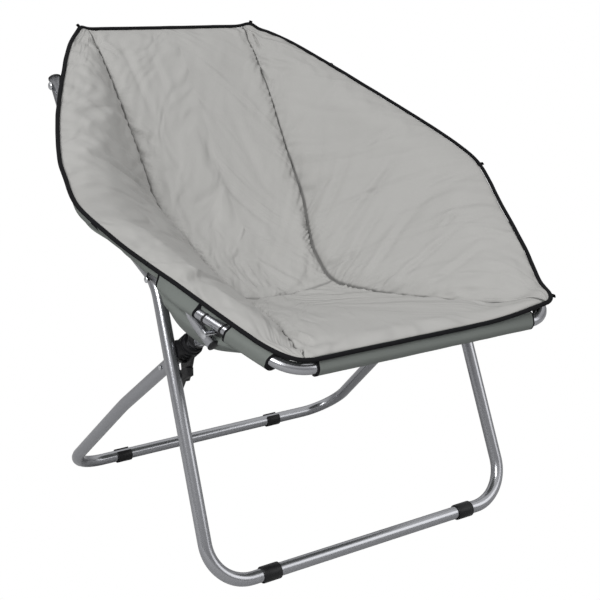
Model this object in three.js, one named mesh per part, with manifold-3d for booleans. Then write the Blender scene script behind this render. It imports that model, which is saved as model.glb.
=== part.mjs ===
// Folding saucer chair: a hexagonal padded dish in a two-part tube rim, carried by two crossed leg frames.
// Millimetres. +Z is up, the chair faces -Y, and left is the -X side. The origin is under the middle of the chair.
import * as THREE from 'three';
import { mergeVertices } from 'three/addons/utils/BufferGeometryUtils.js';
import Module from 'manifold-3d';

const wasm = await Module();
wasm.setup();

// Fits
const seat_gap = 0.3;              // between pieces that touch
const hole_clearance = 0.3;        // all round a bolt or a tube in its hole
const overrun = 2;                 // how far a cut runs past the face it cuts

// Seat rim: a hexagon, wide at its side corners and narrow at the back. It leans back.
const rim_tilt = THREE.MathUtils.degToRad(27.8);
const rim_centre_y = 223;          // the two side corners, behind the middle of the front floor bar
const rim_centre_z = 570.4;        // and above the floor bars' own middle
const rim_half_width = 417;        // at the side corners
const rim_front_reach = 402;       // side corners to front edge, along the rim
const rim_back_reach = 535;        // side corners to back edge, along the rim
const rim_front_half = 244;        // half the front edge
const rim_back_half = 186.5;       // half the back edge
const rim_tube = 18;
const rim_corner_radius = 55;
const rim_side_radius = 80;
const rear_rim_drop = 12;          // rear rim tube under the edge of the cushion
const tail_root = new THREE.Vector3(356, -70, -14);     // where the rear rim tube leaves the hexagon
const tail_tip = new THREE.Vector3(294, -282, -41);     // its end, under the front rim tube
const tail_bend_radius = 40;

// Leg frames
const leg_tube = 22;
const floor_bar_radius = 70;       // bends of the floor bars
const front_leg_half = 303.8;      // half the width of the front frame on the floor
const front_leg_lean = 0.4105;     // back, for each unit up
const front_leg_taper = 0.0169;    // inward, for each unit up
const front_leg_knee_z = 449.5;    // where it cranks back under the seat
const front_leg_crank = new THREE.Vector3(309, 415, 553);
const front_leg_top_half = 305;
const front_leg_bend = 70;
const rear_leg_half = 312.7;
const leg_spread = 562.5;          // between the two floor bars
const rear_leg_knee = new THREE.Vector3(284.9, 342.3, 193);
const rear_leg_lean = 1.305;       // forward, for each unit up, above its knee
const rear_leg_taper = 0.147;      // inward, for each unit up, above its knee
const rear_leg_neck_z = 362;       // where it turns flatter towards the rim
const rear_leg_top_half = 270;
const rear_leg_bow = 400;
const rear_leg_neck_bend = 90;
const front_leg_end = 15;          // tube past its top bolt
const rear_leg_end = 11;

// Pivots of the folding frame, seen from the side
const scissor_z = 346.4;
const saddle_along = -280;         // rear leg bolt, along the rim from the side corners
const saddle_lift = -25.6;         // and above or below its plane
const hinge_along = -152;          // hinge between the rim's two parts
const hinge_half = 356;            // front rim tube at the hinge
const back_bolt_along = 360;       // front leg bolt on the rear rim

// Hardware
const bolt_shank = 8;
const bolt_head = 15;
const bolt_head_height = 3.2;
const pin_shank = 6;
const pin_head = 11;
const pin_head_height = 2.2;
const bush_diameter = 15;
const plug_height = 3.5;
const plug_lip = 0.8;              // plug cap inside the tube's outer edge
const saddle_length = 66;
const saddle_width = 25;
const saddle_cheek = 2.5;          // saddle inner face to the leg
const hub_length = 46;
const hub_wall = 6;
const hub_rib = 2.4;               // height of the ribs round the hub
const hub_rib_width = 4;
const hub_rib_count = 4;
const hub_boss = 30;
const hub_lug_drop = 40;           // lever pin under the leg tube
const hub_lug_back = 8;            // lever pin behind the scissor rivet, along the leg
const hub_lug_width = 22;
const hub_lug_thickness = 6;
const collar_length = 13;
const collar_wall = 4.5;
const collar_offset = 40;          // stop collar above the scissor rivet
const lever_thickness = 9;
const lever_tail = 46;
const lever_tooth = 30;
const lever_width = 15;
const lever_tip = 9;
const lever_swing = THREE.MathUtils.degToRad(30);
const stop_rivet_offset = 78;      // rivet in the rear leg below the scissor rivet
const rivet_head = 8.5;
const rivet_height = 2;
const foot_wall = 2.6;
const front_foot_length = 32;
const front_foot_half = 201;       // feet of the front bar, from its middle
const rear_foot_length = 30;
const rear_foot_left = 193;
const rear_foot_right = 155;
const clip_mouth = 14;             // open side of the rear feet

// Seat
const cushion_depth = 194;         // below the rim's plane
const cushion_thickness = 25;
const cushion_hem = 3.6;           // thickness over the rim tube
const hem_width = 16;
const hem_drop = 2;                // from its outer to its inner edge
const hinge_hem_width = 40;        // wider over the two tubes near the hinge
const hinge_hem_reach = 120;       // in front of and behind the middle of that stretch
const hinge_hem_along = -105;
const hem_ramp = 20;               // from the hem to full thickness
const front_edge_lift = 14;
const rear_edge_lift = 3;
const lift_change_from = -215;
const lift_change_to = -110;
const side_corner_softness = 35;
const panel_crown = 9;             // puff of the side panels
const middle_sag = 20;             // seat and back panels hang between their seams
const cushion_split = 0.8;         // between the front and rear part, at the hinge
const piping = 6.5;
const piping_outset = 3.6;         // its middle outside the edge of the cushion
const piping_lift = 0.9;           // and above the top of the cushion
const sleeve_wall = 1.6;
const sleeve_margin = 26;          // sleeve ends short of a corner

// Facets
const tube_sides = 12;
const round_sides = 20;
const bend_steps = 5;
const side_steps = 5;
const middle_steps = 4;
const facet_slack = 1 / Math.cos(Math.PI / tube_sides);   // from a facet's middle to its edge
const sleeve_bore = rim_tube * facet_slack + 2 * seat_gap;

const steel = { color: 0x8c8f96, roughness: 0.32, metalness: 0.9 };
const zinc = { color: 0xc9ccd2, roughness: 0.3, metalness: 0.95 };
const black_nylon = { color: 0x151516, roughness: 0.5, metalness: 0 };
const grey_fabric = { color: 0xaeb0ae, roughness: 0.95, metalness: 0 };
const underside_fabric = { color: 0x737873, roughness: 0.95, metalness: 0 };
const piping_fabric = { color: 0x121416, roughness: 0.85, metalness: 0 };

const chair = new THREE.Group();

// A point given across, along and above the plane of the rim
function onRim(across, along, lift) {
  return new THREE.Vector3(
    across,
    rim_centre_y + along * Math.cos(rim_tilt) - lift * Math.sin(rim_tilt),
    rim_centre_z + along * Math.sin(rim_tilt) + lift * Math.cos(rim_tilt),
  );
}

function mirrored(points) {
  return points.map((p) => new THREE.Vector3(-p.x, p.y, p.z));
}

// A bent tube's line. It has stations only at its ends and in its bends, so that straight runs stay straight.
class BentLine extends THREE.Curve {
  constructor(corners, radii) {
    super();
    this.stations = [corners[0].clone()];
    this.directions = [corners[1].clone().sub(corners[0]).normalize()];
    for (let i = 1; i < corners.length - 1; i += 1) {
      this.addBend(corners[i - 1], corners[i], corners[i + 1], radii[i - 1]);
    }
    const last = corners.length - 1;
    this.stations.push(corners[last].clone());
    this.directions.push(corners[last].clone().sub(corners[last - 1]).normalize());
  }

  addBend(before, corner, after, radius) {
    const arriving = corner.clone().sub(before).normalize();
    const leaving = after.clone().sub(corner).normalize();
    const turn = arriving.angleTo(leaving);
    const setback = radius * Math.tan(turn / 2);
    const start = corner.clone().addScaledVector(arriving, -setback);
    const axis = arriving.clone().cross(leaving).normalize();
    const inward = axis.clone().cross(arriving).normalize();
    const centre = start.clone().addScaledVector(inward, radius);
    for (let i = 0; i <= bend_steps; i += 1) {
      const angle = (turn * i) / bend_steps;
      const spoke = inward.clone().multiplyScalar(-radius).applyAxisAngle(axis, angle);
      this.stations.push(centre.clone().add(spoke));
      this.directions.push(arriving.clone().applyAxisAngle(axis, angle));
    }
  }

  get steps() {
    return this.stations.length - 1;
  }

  getPoint(t) {
    const place = Math.min(Math.max(t, 0), 1) * this.steps;
    const low = Math.min(Math.floor(place), this.steps - 1);
    return this.stations[low].clone().lerp(this.stations[low + 1], place - low);
  }

  getPointAt(t) {
    return this.getPoint(t);
  }

  getTangentAt(t) {
    return this.directions[Math.round(t * this.steps)].clone();
  }
}

function outline(radius, sides = tube_sides) {
  const points = [];
  for (let i = 0; i < sides; i += 1) {
    const angle = (2 * Math.PI * (i + 0.5)) / sides;
    points.push(new THREE.Vector2(radius * Math.cos(angle), radius * Math.sin(angle)));
  }
  return points;
}

// A bar or pipe swept along a bent line
function sweep(line, diameter, bore = 0, sides = tube_sides) {
  const section = new THREE.Shape(outline(diameter / 2, sides));
  if (bore > 0) {
    section.holes.push(new THREE.Path(outline(bore / 2, sides)));
  }
  return new THREE.ExtrudeGeometry(section, { steps: line.steps, extrudePath: line, bevelEnabled: false });
}

// A cylinder from one point to another
function rod(from, to, diameter, sides = round_sides) {
  const run = to.clone().sub(from);
  const geometry = new THREE.CylinderGeometry(diameter / 2, diameter / 2, run.length(), sides);
  const turn = new THREE.Quaternion().setFromUnitVectors(new THREE.Vector3(0, 1, 0), run.clone().normalize());
  geometry.applyQuaternion(turn);
  const middle = from.clone().add(to).multiplyScalar(0.5);
  return geometry.translate(middle.x, middle.y, middle.z);
}

// A plate drawn in the side plane, Y across and Z up the page, from one X to another
function sidePlate(points, from_x, to_x) {
  const shape = new THREE.Shape(points.map((p) => new THREE.Vector2(p.y, p.z)));
  const geometry = new THREE.ExtrudeGeometry(shape, { depth: Math.abs(to_x - from_x), bevelEnabled: false });
  geometry.rotateX(Math.PI / 2).rotateZ(Math.PI / 2);
  return geometry.translate(Math.min(from_x, to_x), 0, 0);
}

function toSolid(geometry) {
  const bare = geometry.clone();
  bare.deleteAttribute('normal');
  bare.deleteAttribute('uv');
  const merged = mergeVertices(bare, 1e-4);
  return new wasm.Manifold(new wasm.Mesh({
    numProp: 3,
    vertProperties: new Float32Array(merged.attributes.position.array),
    triVerts: new Uint32Array(merged.index.array),
  }));
}

function fromSolid(solid) {
  const cut = solid.getMesh();
  const geometry = new THREE.BufferGeometry();
  const points = new Float32Array((cut.vertProperties.length / cut.numProp) * 3);
  for (let i = 0; i < points.length / 3; i += 1) {
    points.set(cut.vertProperties.subarray(i * cut.numProp, i * cut.numProp + 3), i * 3);
  }
  geometry.setAttribute('position', new THREE.BufferAttribute(points, 3));
  geometry.setIndex(new THREE.BufferAttribute(new Uint32Array(cut.triVerts), 1));
  return geometry;
}

function cut(geometry, ...tools) {
  return fromSolid(tools.reduce((solid, tool) => solid.subtract(toSolid(tool)), toSolid(geometry)));
}

function join(...geometries) {
  return fromSolid(geometries.map(toSolid).reduce((whole, piece) => whole.add(piece)));
}

// A cut that leaves only the largest piece, without crumbs at its edge
function trim(geometry, ...tools) {
  const pieces = tools.reduce((solid, tool) => solid.subtract(toSolid(tool)), toSolid(geometry)).decompose();
  return fromSolid(pieces.sort((a, b) => b.volume() - a.volume())[0]);
}

// The left hand copy of a right hand piece
function flipped(geometry) {
  const copy = geometry.clone().scale(-1, 1, 1);
  const index = copy.index ? copy.index.array : [...Array(copy.attributes.position.count).keys()];
  const turned = new Uint32Array(index.length);
  for (let i = 0; i < index.length; i += 3) {
    turned.set([index[i], index[i + 2], index[i + 1]], i);
  }
  copy.setIndex(new THREE.BufferAttribute(turned, 1));
  return copy;
}

function place(name, geometry, look) {
  const mesh = new THREE.Mesh(geometry, new THREE.MeshStandardMaterial(look));
  mesh.name = name;
  chair.add(mesh);
}

// Built on the right hand side, +X, and mirrored for the left
function placePair(name, geometry, look) {
  place(`${name}_right`, geometry, look);
  place(`${name}_left`, flipped(geometry), look);
}

// Pivot points on the right hand side
const scissor = new THREE.Vector3(front_leg_half - front_leg_taper * scissor_z, front_leg_lean * scissor_z, scissor_z);
const saddle_bolt = onRim(rear_leg_top_half, saddle_along, saddle_lift);
const tail_line_share = (tail_root.y - hinge_along) / (tail_root.y - tail_tip.y);
const hinge_tail = tail_root.clone().lerp(tail_tip, tail_line_share);
const hinge = onRim(hinge_tail.x, hinge_along, hinge_tail.z);
const back_bolt = onRim(front_leg_top_half, back_bolt_along, -rear_rim_drop);
const edge_taper = (rim_half_width - rim_front_half) / rim_front_reach;
const back_taper = (rim_half_width - rim_back_half) / rim_back_reach;

function across(point, x) {
  return new THREE.Vector3(x, point.y, point.z);
}

function legEnd(pivot, before, length) {
  return pivot.clone().addScaledVector(pivot.clone().sub(before).normalize(), length);
}

// Front leg frame: a U whose uprights crank back under the seat
function frontLegLine() {
  const foot = new THREE.Vector3(front_leg_half, 0, 0);
  const knee = new THREE.Vector3(
    front_leg_half - front_leg_taper * front_leg_knee_z,
    front_leg_lean * front_leg_knee_z,
    front_leg_knee_z,
  );
  const right = [legEnd(back_bolt, front_leg_crank, front_leg_end), front_leg_crank, knee, foot];
  return new BentLine([...right, ...mirrored(right).reverse()], [
    front_leg_bend, front_leg_bend, floor_bar_radius, floor_bar_radius, front_leg_bend, front_leg_bend,
  ]);
}

function rearLegPoint(z) {
  const rise = z - rear_leg_knee.z;
  return new THREE.Vector3(
    rear_leg_knee.x - rear_leg_taper * rise,
    rear_leg_knee.y - rear_leg_lean * rise,
    z,
  );
}

// Rear leg frame: a U with bowed uprights, inside the front frame where they cross
function rearLegLine() {
  const foot = new THREE.Vector3(rear_leg_half, leg_spread, 0);
  const neck = rearLegPoint(rear_leg_neck_z);
  const right = [legEnd(saddle_bolt, neck, rear_leg_end), neck, rear_leg_knee, foot];
  return new BentLine([...right, ...mirrored(right).reverse()], [
    rear_leg_neck_bend, rear_leg_bow, floor_bar_radius, floor_bar_radius, rear_leg_bow, rear_leg_neck_bend,
  ]);
}

function frontRimLine() {
  const right = [onRim(hinge_half, hinge_along, hinge_tail.z), onRim(rim_front_half, -rim_front_reach, 0)];
  const run = right[0].clone().sub(right[1]).normalize();
  right[0].addScaledVector(run, bush_diameter / 2 + overrun);
  return new BentLine([...right, ...mirrored(right).reverse()], [rim_corner_radius, rim_corner_radius]);
}

function rearRimLine() {
  const right = [
    onRim(tail_tip.x, tail_tip.y, tail_tip.z),
    onRim(tail_root.x, tail_root.y, tail_root.z),
    onRim(rim_half_width, 0, -rear_rim_drop),
    onRim(rim_back_half, rim_back_reach, -rear_rim_drop),
  ];
  return new BentLine([...right, ...mirrored(right).reverse()], [
    tail_bend_radius, rim_side_radius, rim_corner_radius, rim_corner_radius, rim_side_radius, tail_bend_radius,
  ]);
}

function bothSides(geometry) {
  return [geometry, flipped(geometry)];
}

function boltHole(point, from_x, to_x, shank) {
  return rod(across(point, from_x), across(point, to_x), shank + 2 * hole_clearance);
}

const front_leg_line = frontLegLine();
const rear_leg_line = rearLegLine();
const front_rim_line = frontRimLine();
const rear_rim_line = rearRimLine();
const rear_leg_axis = rearLegPoint(scissor_z);
const leg_up = rearLegPoint(rear_leg_neck_z).sub(rear_leg_knee).normalize();

function buildFrames() {
  const back_hole = boltHole(back_bolt, front_leg_top_half - leg_tube, front_leg_top_half + leg_tube, bolt_shank);
  place('front_leg', cut(sweep(front_leg_line, leg_tube), ...bothSides(back_hole)), steel);
  const saddle_hole = boltHole(saddle_bolt, rear_leg_top_half - leg_tube, rear_leg_top_half + leg_tube, bolt_shank);
  place('rear_leg', cut(sweep(rear_leg_line, leg_tube), ...bothSides(saddle_hole)), steel);
  const hinge_hole = boltHole(hinge, hinge.x - rim_tube, hinge_half + rim_tube, pin_shank);
  place('front_rim', cut(sweep(front_rim_line, rim_tube), ...bothSides(hinge_hole)), steel);
  const rim_x = rim_half_width - back_taper * back_bolt_along;
  const rim_hole = boltHole(back_bolt, rim_x - rim_tube, rim_x + rim_tube, bolt_shank);
  place('rear_rim', cut(sweep(rear_rim_line, rim_tube), ...bothSides(hinge_hole), ...bothSides(rim_hole)), steel);
}

// A bolt or rivet across the chair, with a domed head at each end
function crossBolt(point, from_x, to_x, shank, head, head_height) {
  const dome = (x, outward) => {
    const profile = [
      new THREE.Vector2(0, 0),
      new THREE.Vector2(head / 2, 0),
      new THREE.Vector2(head / 2, head_height * 0.35),
      new THREE.Vector2(head * 0.3, head_height * 0.9),
      new THREE.Vector2(0, head_height),
    ];
    const geometry = new THREE.LatheGeometry(profile, round_sides);
    geometry.rotateZ(-outward * Math.PI / 2);
    return geometry.translate(x, point.y, point.z);
  };
  const shaft = rod(across(point, from_x - seat_gap), across(point, to_x + seat_gap), shank);
  return join(shaft, dome(from_x, -1), dome(to_x, 1));
}

// Hinge between the two parts of the rim: a pin through both tubes and a bush between them
function buildHinges() {
  const tail_slope = (tail_root.x - tail_tip.x) / (tail_root.y - tail_tip.y);
  const tail_reach = rim_tube / 2 / Math.cos(Math.atan(tail_slope)) + (bush_diameter / 2) * tail_slope;
  const bush_face = hinge.x + tail_reach + seat_gap;
  const bore = boltHole(hinge, bush_face - overrun, hinge_half + rim_tube, pin_shank);
  const bush = rod(across(hinge, bush_face), across(hinge, hinge_half), bush_diameter);
  placePair('hinge_bush', cut(bush, sweep(front_rim_line, rim_tube + 2 * seat_gap), bore), black_nylon);
  const side_reach = rim_tube / 2 / Math.cos(Math.atan(edge_taper)) + (pin_head / 2) * edge_taper;
  const inner = hinge.x - tail_reach - seat_gap;
  const outer = hinge_half + side_reach + seat_gap;
  placePair('hinge_pin', crossBolt(hinge, inner, outer, pin_shank, pin_head, pin_head_height), zinc);
}

// Saddle under the front rim tube: it carries the rear leg's bolt, and the rear rim's tail stops against it
function buildSaddles() {
  const rim_run = onRim(rim_front_half, -rim_front_reach, 0).sub(onRim(hinge_half, hinge_along, hinge_tail.z));
  const share = (hinge_along - saddle_along) / (hinge_along + rim_front_reach);
  const centre = onRim(hinge_half, hinge_along, hinge_tail.z).addScaledVector(rim_run, share);
  const direction = rim_run.clone().normalize();
  const block = new THREE.BoxGeometry(saddle_width, rim_tube + 2 * bolt_shank, saddle_length);
  const up = onRim(0, 0, 1).sub(onRim(0, 0, 0));
  const side = up.clone().cross(direction).normalize();
  const lift = direction.clone().cross(side).normalize();
  const basis = new THREE.Matrix4().makeBasis(side, lift, direction);
  block.applyMatrix4(basis);
  const middle = centre.clone().addScaledVector(lift, -(rim_tube / 2 + bolt_shank / 2));
  block.translate(middle.x, middle.y, middle.z);
  const inner_face = rear_leg_top_half + leg_tube / 2 + saddle_cheek;
  const outer_face = centre.x + saddle_width / 2 + bolt_shank * 0.75;
  const boss = rod(across(saddle_bolt, inner_face), across(saddle_bolt, outer_face), bolt_head + overrun);
  const tail_line = new BentLine([
    onRim(tail_tip.x, tail_tip.y, tail_tip.z).addScaledVector(
      onRim(tail_tip.x, tail_tip.y, tail_tip.z).sub(onRim(tail_root.x, tail_root.y, tail_root.z)), 1),
    onRim(tail_root.x, tail_root.y, tail_root.z),
  ], []);
  const groove = sweep(tail_line, rim_tube + 2 * seat_gap, 0, round_sides);
  const below = new THREE.BoxGeometry(2 * saddle_width, 2 * rim_tube, 2 * saddle_length);
  const tail_direction = tail_line.directions[0].clone().negate();
  const tail_side = up.clone().cross(tail_direction).normalize();
  const tail_lift = tail_direction.clone().cross(tail_side).normalize();
  below.applyMatrix4(new THREE.Matrix4().makeBasis(tail_side, tail_lift, tail_direction));
  const tail_middle = onRim(tail_tip.x, tail_tip.y, tail_tip.z).addScaledVector(tail_lift, -rim_tube);
  below.translate(tail_middle.x, tail_middle.y, tail_middle.z);
  const inside = new THREE.BoxGeometry(2 * saddle_width, 4 * saddle_width, 4 * saddle_length);
  inside.translate(inner_face - saddle_width, saddle_bolt.y, saddle_bolt.z);
  const body = cut(join(cut(block, below), boss), sweep(front_rim_line, rim_tube + 2 * seat_gap), groove, inside);
  const bore = boltHole(saddle_bolt, inner_face - overrun, outer_face + overrun, bolt_shank);
  placePair('rim_saddle', cut(body, bore), black_nylon);
  const inner_head = rear_leg_top_half - leg_tube / 2 - seat_gap - bolt_head_height / 2;
  placePair(
    'rear_leg_bolt',
    crossBolt(saddle_bolt, inner_head, outer_face + seat_gap, bolt_shank, bolt_head, bolt_head_height),
    zinc,
  );
}

// The front leg's top: it passes outside the rear rim tube, with a spacer between them
function buildBackBolts() {
  const rim_x = rim_half_width - back_taper * back_bolt_along;
  const leg_face = front_leg_top_half - leg_tube / 2 - 2 * seat_gap;
  const bore = boltHole(back_bolt, rim_x - rim_tube, leg_face + overrun, bolt_shank);
  const slope_reach = rim_tube / 2 / Math.cos(Math.atan(back_taper)) + (bolt_head / 2) * back_taper;
  const spacer = rod(
    across(back_bolt, rim_x + slope_reach + seat_gap), across(back_bolt, leg_face), bush_diameter,
  );
  placePair('leg_spacer', cut(spacer, bore), black_nylon);
  const inner = rim_x - slope_reach - seat_gap;
  const outer = front_leg_top_half + leg_tube / 2 + seat_gap;
  placePair('front_leg_bolt', crossBolt(back_bolt, inner, outer, bolt_shank, bolt_head, bolt_head_height), zinc);
}

// Turns a piece drawn along +Y, with +Z up, so that it lies along the rear leg at a distance up from the scissor
function onRearLeg(geometry, distance) {
  const side = leg_up.clone().cross(new THREE.Vector3(0, 0, 1)).normalize();
  const lift = side.clone().cross(leg_up).normalize();
  geometry.applyMatrix4(new THREE.Matrix4().makeBasis(side, leg_up, lift));
  const centre = rear_leg_axis.clone().addScaledVector(leg_up, distance);
  return geometry.translate(centre.x, centre.y, centre.z);
}

function ribbedHub() {
  const radius = leg_tube / 2 + hub_wall;
  const profile = [new THREE.Vector2(0, -hub_length / 2), new THREE.Vector2(radius, -hub_length / 2)];
  const pitch = hub_length / (hub_rib_count + 1);
  for (let i = 1; i <= hub_rib_count; i += 1) {
    const middle = -hub_length / 2 + pitch * i;
    profile.push(new THREE.Vector2(radius, middle - hub_rib_width / 2));
    profile.push(new THREE.Vector2(radius + hub_rib, middle - hub_rib_width / 2));
    profile.push(new THREE.Vector2(radius + hub_rib, middle + hub_rib_width / 2));
    profile.push(new THREE.Vector2(radius, middle + hub_rib_width / 2));
  }
  profile.push(new THREE.Vector2(radius, hub_length / 2), new THREE.Vector2(0, hub_length / 2));
  return onRearLeg(new THREE.LatheGeometry(profile, round_sides), 0);
}

const lever_pin_point = rear_leg_axis.clone()
  .addScaledVector(leg_up, -hub_lug_back)
  .add(new THREE.Vector3(0, 0, -hub_lug_drop));
const lug_outer_x = rear_leg_axis.x + hub_lug_thickness / 2;

// Hub on each rear leg upright, where the frames cross
function buildHubs() {
  const boss_face = scissor.x - leg_tube / 2 - 4 * seat_gap;
  const boss = rod(across(scissor, rear_leg_axis.x), across(scissor, boss_face), hub_boss);
  const top_y = rear_leg_axis.y;
  const lug = sidePlate([
    new THREE.Vector3(0, top_y - hub_lug_width, rear_leg_axis.z),
    new THREE.Vector3(0, lever_pin_point.y - hub_lug_width / 2, lever_pin_point.z),
    new THREE.Vector3(0, lever_pin_point.y - hub_lug_width / 4, lever_pin_point.z - hub_lug_width / 2),
    new THREE.Vector3(0, lever_pin_point.y + hub_lug_width / 4, lever_pin_point.z - hub_lug_width / 2),
    new THREE.Vector3(0, lever_pin_point.y + hub_lug_width / 2, lever_pin_point.z),
    new THREE.Vector3(0, top_y + hub_lug_width, rear_leg_axis.z),
  ], rear_leg_axis.x - hub_lug_thickness / 2, lug_outer_x);
  const pin_hole = boltHole(lever_pin_point, rear_leg_axis.x - leg_tube, scissor.x, pin_shank);
  const rivet_hole = boltHole(scissor, rear_leg_axis.x, scissor.x, pin_shank);
  const tube_hole = sweep(rear_leg_line, leg_tube + 2 * hole_clearance);
  const hub = join(ribbedHub(), boss, lug);
  place('scissor_hub_left', flipped(cut(hub, pin_hole, rivet_hole, tube_hole)), black_nylon);
  place('scissor_hub_right', cut(join(ribbedHub(), boss), rivet_hole, tube_hole), black_nylon);
  const rivet_from = rear_leg_axis.x + leg_tube / 2 + 2 * hole_clearance;
  placePair('scissor_rivet', rod(across(scissor, rivet_from), across(scissor, boss_face), pin_shank), zinc);
  const collar = onRearLeg(
    new THREE.CylinderGeometry(leg_tube / 2 + collar_wall, leg_tube / 2 + collar_wall, collar_length, round_sides),
    collar_offset,
  );
  placePair('stop_collar', cut(collar, tube_hole), black_nylon);
}

// Lock lever, on the left hub only: a sprung tooth that bears on the front leg's inner face, and a tail to press
function buildLock() {
  const p = lever_pin_point;
  const inner = lug_outer_x + seat_gap;
  const outer = inner + lever_thickness;
  const tail_y = p.y + lever_tail * Math.cos(Math.PI / 3);
  const tail_z = p.z - lever_tail * Math.sin(Math.PI / 3);
  const tooth_y = p.y - lever_tooth * Math.cos(Math.PI / 6);
  const tooth_z = p.z + lever_tooth * Math.sin(Math.PI / 6);
  const plate = sidePlate([
    new THREE.Vector3(0, tooth_y - lever_tip / 2, tooth_z - lever_tip),
    new THREE.Vector3(0, p.y - lever_width / 2, p.z - lever_width / 2),
    new THREE.Vector3(0, tail_y - lever_tip, tail_z),
    new THREE.Vector3(0, tail_y - lever_tip / 3, tail_z - lever_tip / 3),
    new THREE.Vector3(0, tail_y + lever_tip / 3, tail_z + lever_tip / 3),
    new THREE.Vector3(0, p.y + lever_width / 2, p.z + lever_width / 4),
    new THREE.Vector3(0, p.y, p.z + lever_width / 2),
    new THREE.Vector3(0, tooth_y + lever_tip / 2, tooth_z + lever_tip / 2),
    new THREE.Vector3(0, tooth_y - lever_tip / 2, tooth_z + lever_tip / 2),
  ], inner, outer);
  const hole = boltHole(p, inner - overrun, outer + overrun, pin_shank);
  place('lock_lever', flipped(cut(plate, hole)), black_nylon);
  const pin = crossBolt(
    p, rear_leg_axis.x - hub_lug_thickness / 2 - seat_gap, outer + seat_gap, pin_shank, pin_head, pin_head_height,
  );
  place('lock_pin', flipped(pin), zinc);
}

// Feet: closed sleeves on the front floor bar, open clips on the rear one
function buildFeet() {
  const ring = (x, y, length) => cut(
    rod(new THREE.Vector3(x - length / 2, y, 0), new THREE.Vector3(x + length / 2, y, 0), leg_tube + 2 * foot_wall),
    rod(
      new THREE.Vector3(x - length, y, 0), new THREE.Vector3(x + length, y, 0), leg_tube + 2 * hole_clearance,
    ),
  );
  placePair('front_foot', ring(front_foot_half, 0, front_foot_length), black_nylon);
  const clip = (x) => {
    const mouth = new THREE.BoxGeometry(2 * rear_foot_length, clip_mouth, leg_tube);
    return cut(ring(x, leg_spread, rear_foot_length), mouth.translate(x, leg_spread, leg_tube / 2));
  };
  place('rear_foot_right', clip(rear_foot_right), black_nylon);
  place('rear_foot_left', clip(-rear_foot_left), black_nylon);
}

// Domed caps on the open tube ends
function cap(line, end, diameter) {
  const at = end === 'start' ? 0 : line.steps;
  const outward = line.directions[at].clone().multiplyScalar(end === 'start' ? -1 : 1);
  const radius = diameter / 2 - plug_lip / 2;
  const profile = [
    new THREE.Vector2(0, seat_gap),
    new THREE.Vector2(radius, seat_gap),
    new THREE.Vector2(radius, plug_height * 0.5),
    new THREE.Vector2(radius * 0.7, plug_height * 0.9),
    new THREE.Vector2(0, plug_height),
  ];
  const geometry = new THREE.LatheGeometry(profile, tube_sides);
  geometry.applyQuaternion(new THREE.Quaternion().setFromUnitVectors(new THREE.Vector3(0, 1, 0), outward));
  const base = line.stations[at];
  return geometry.translate(base.x, base.y, base.z);
}

function buildPlugs() {
  placePair('front_leg_plug', cap(front_leg_line, 'start', leg_tube), black_nylon);
  placePair('rear_leg_plug', cap(rear_leg_line, 'start', leg_tube), black_nylon);
  placePair('front_rim_plug', cap(front_rim_line, 'start', rim_tube), black_nylon);
  placePair('tail_plug', cap(rear_rim_line, 'start', rim_tube), black_nylon);
}

// Stop rivet in the outer side of each rear upright
function buildStopRivets() {
  const centre = rear_leg_axis.clone().addScaledVector(leg_up, -stop_rivet_offset);
  const base = across(centre, centre.x + leg_tube / 2 + seat_gap);
  placePair('stop_rivet', rod(base, across(base, base.x + rivet_height), rivet_head), zinc);
}

// Fabric sleeves that hold the rim tubes
function sleeve(line, run, from_margin, to_margin, ...tools) {
  const from = line.stations[run * (bend_steps + 1)];
  const to = line.stations[run * (bend_steps + 1) + 1];
  const step = to.clone().sub(from).normalize();
  const ends = [from.clone().addScaledVector(step, from_margin), to.clone().addScaledVector(step, -to_margin)];
  return cut(sweep(new BentLine(ends, []), sleeve_bore + 2 * sleeve_wall, sleeve_bore), ...tools);
}

function buildSleeves() {
  place('sleeve_front', sleeve(front_rim_line, 1, seat_gap, seat_gap), underside_fabric);
  const saddle_end = hinge_along - saddle_along + saddle_length / 2;
  placePair(
    'sleeve_front_side',
    sleeve(front_rim_line, 0, saddle_end * Math.hypot(1, edge_taper) + sleeve_margin, seat_gap),
    underside_fabric,
  );
  const gap = rod(across(back_bolt, rim_half_width), across(back_bolt, 0), bolt_head + 2 * overrun);
  placePair('sleeve_side', sleeve(rear_rim_line, 2, seat_gap, seat_gap, gap), underside_fabric);
  place('sleeve_back', sleeve(rear_rim_line, 3, seat_gap, seat_gap), underside_fabric);
}

// The dish. Each station runs from the rim, down the side panel to the seam, and across to the middle.
// Shares, front to back: of the reach to the front or back edge, of the rim's half width, and of the depth.
const seam_along_share = [-0.988, -0.65, -0.43, -0.29, -0.128, 0.044, 0.16, 0.307, 0.49, 0.68, 0.84, 0.99];
const seam_half_share = [0.547, 0.393, 0.32, 0.278, 0.247, 0.272, 0.31, 0.369, 0.38, 0.391, 0.4, 0.41];
const seam_depth_share = [-0.075, 0.357, 0.65, 0.82, 0.976, 1, 0.93, 0.82, 0.58, 0.3, 0.11, -0.015];
const edge_share = 0.997;          // the cushion's edge, of the reach to the rim's front and back edges
const corner_share = 0.5;          // of the piping's outset, across at its corners
const rim_along_share = [-edge_share, -0.69, -0.46, -0.28, -0.05, 0.1, 0.21, 0.36, 0.54, 0.72, 0.87, edge_share];
const sag_share = [0, 0.35, 0.7, 1, 1, 0.9, 0.8, 0.8, 0.7, 0.5, 0.25, 0];

function reach(share) {
  return share * (share < 0 ? rim_front_reach : rim_back_reach);
}

function rimHalf(along, softness = side_corner_softness) {
  const taper = along < 0 ? edge_taper : back_taper;
  return rim_half_width - taper * Math.hypot(along, softness);
}

function edgeLift(along) {
  const share = THREE.MathUtils.smoothstep(along, lift_change_from, lift_change_to);
  return front_edge_lift + (rear_edge_lift - front_edge_lift) * share;
}

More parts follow.
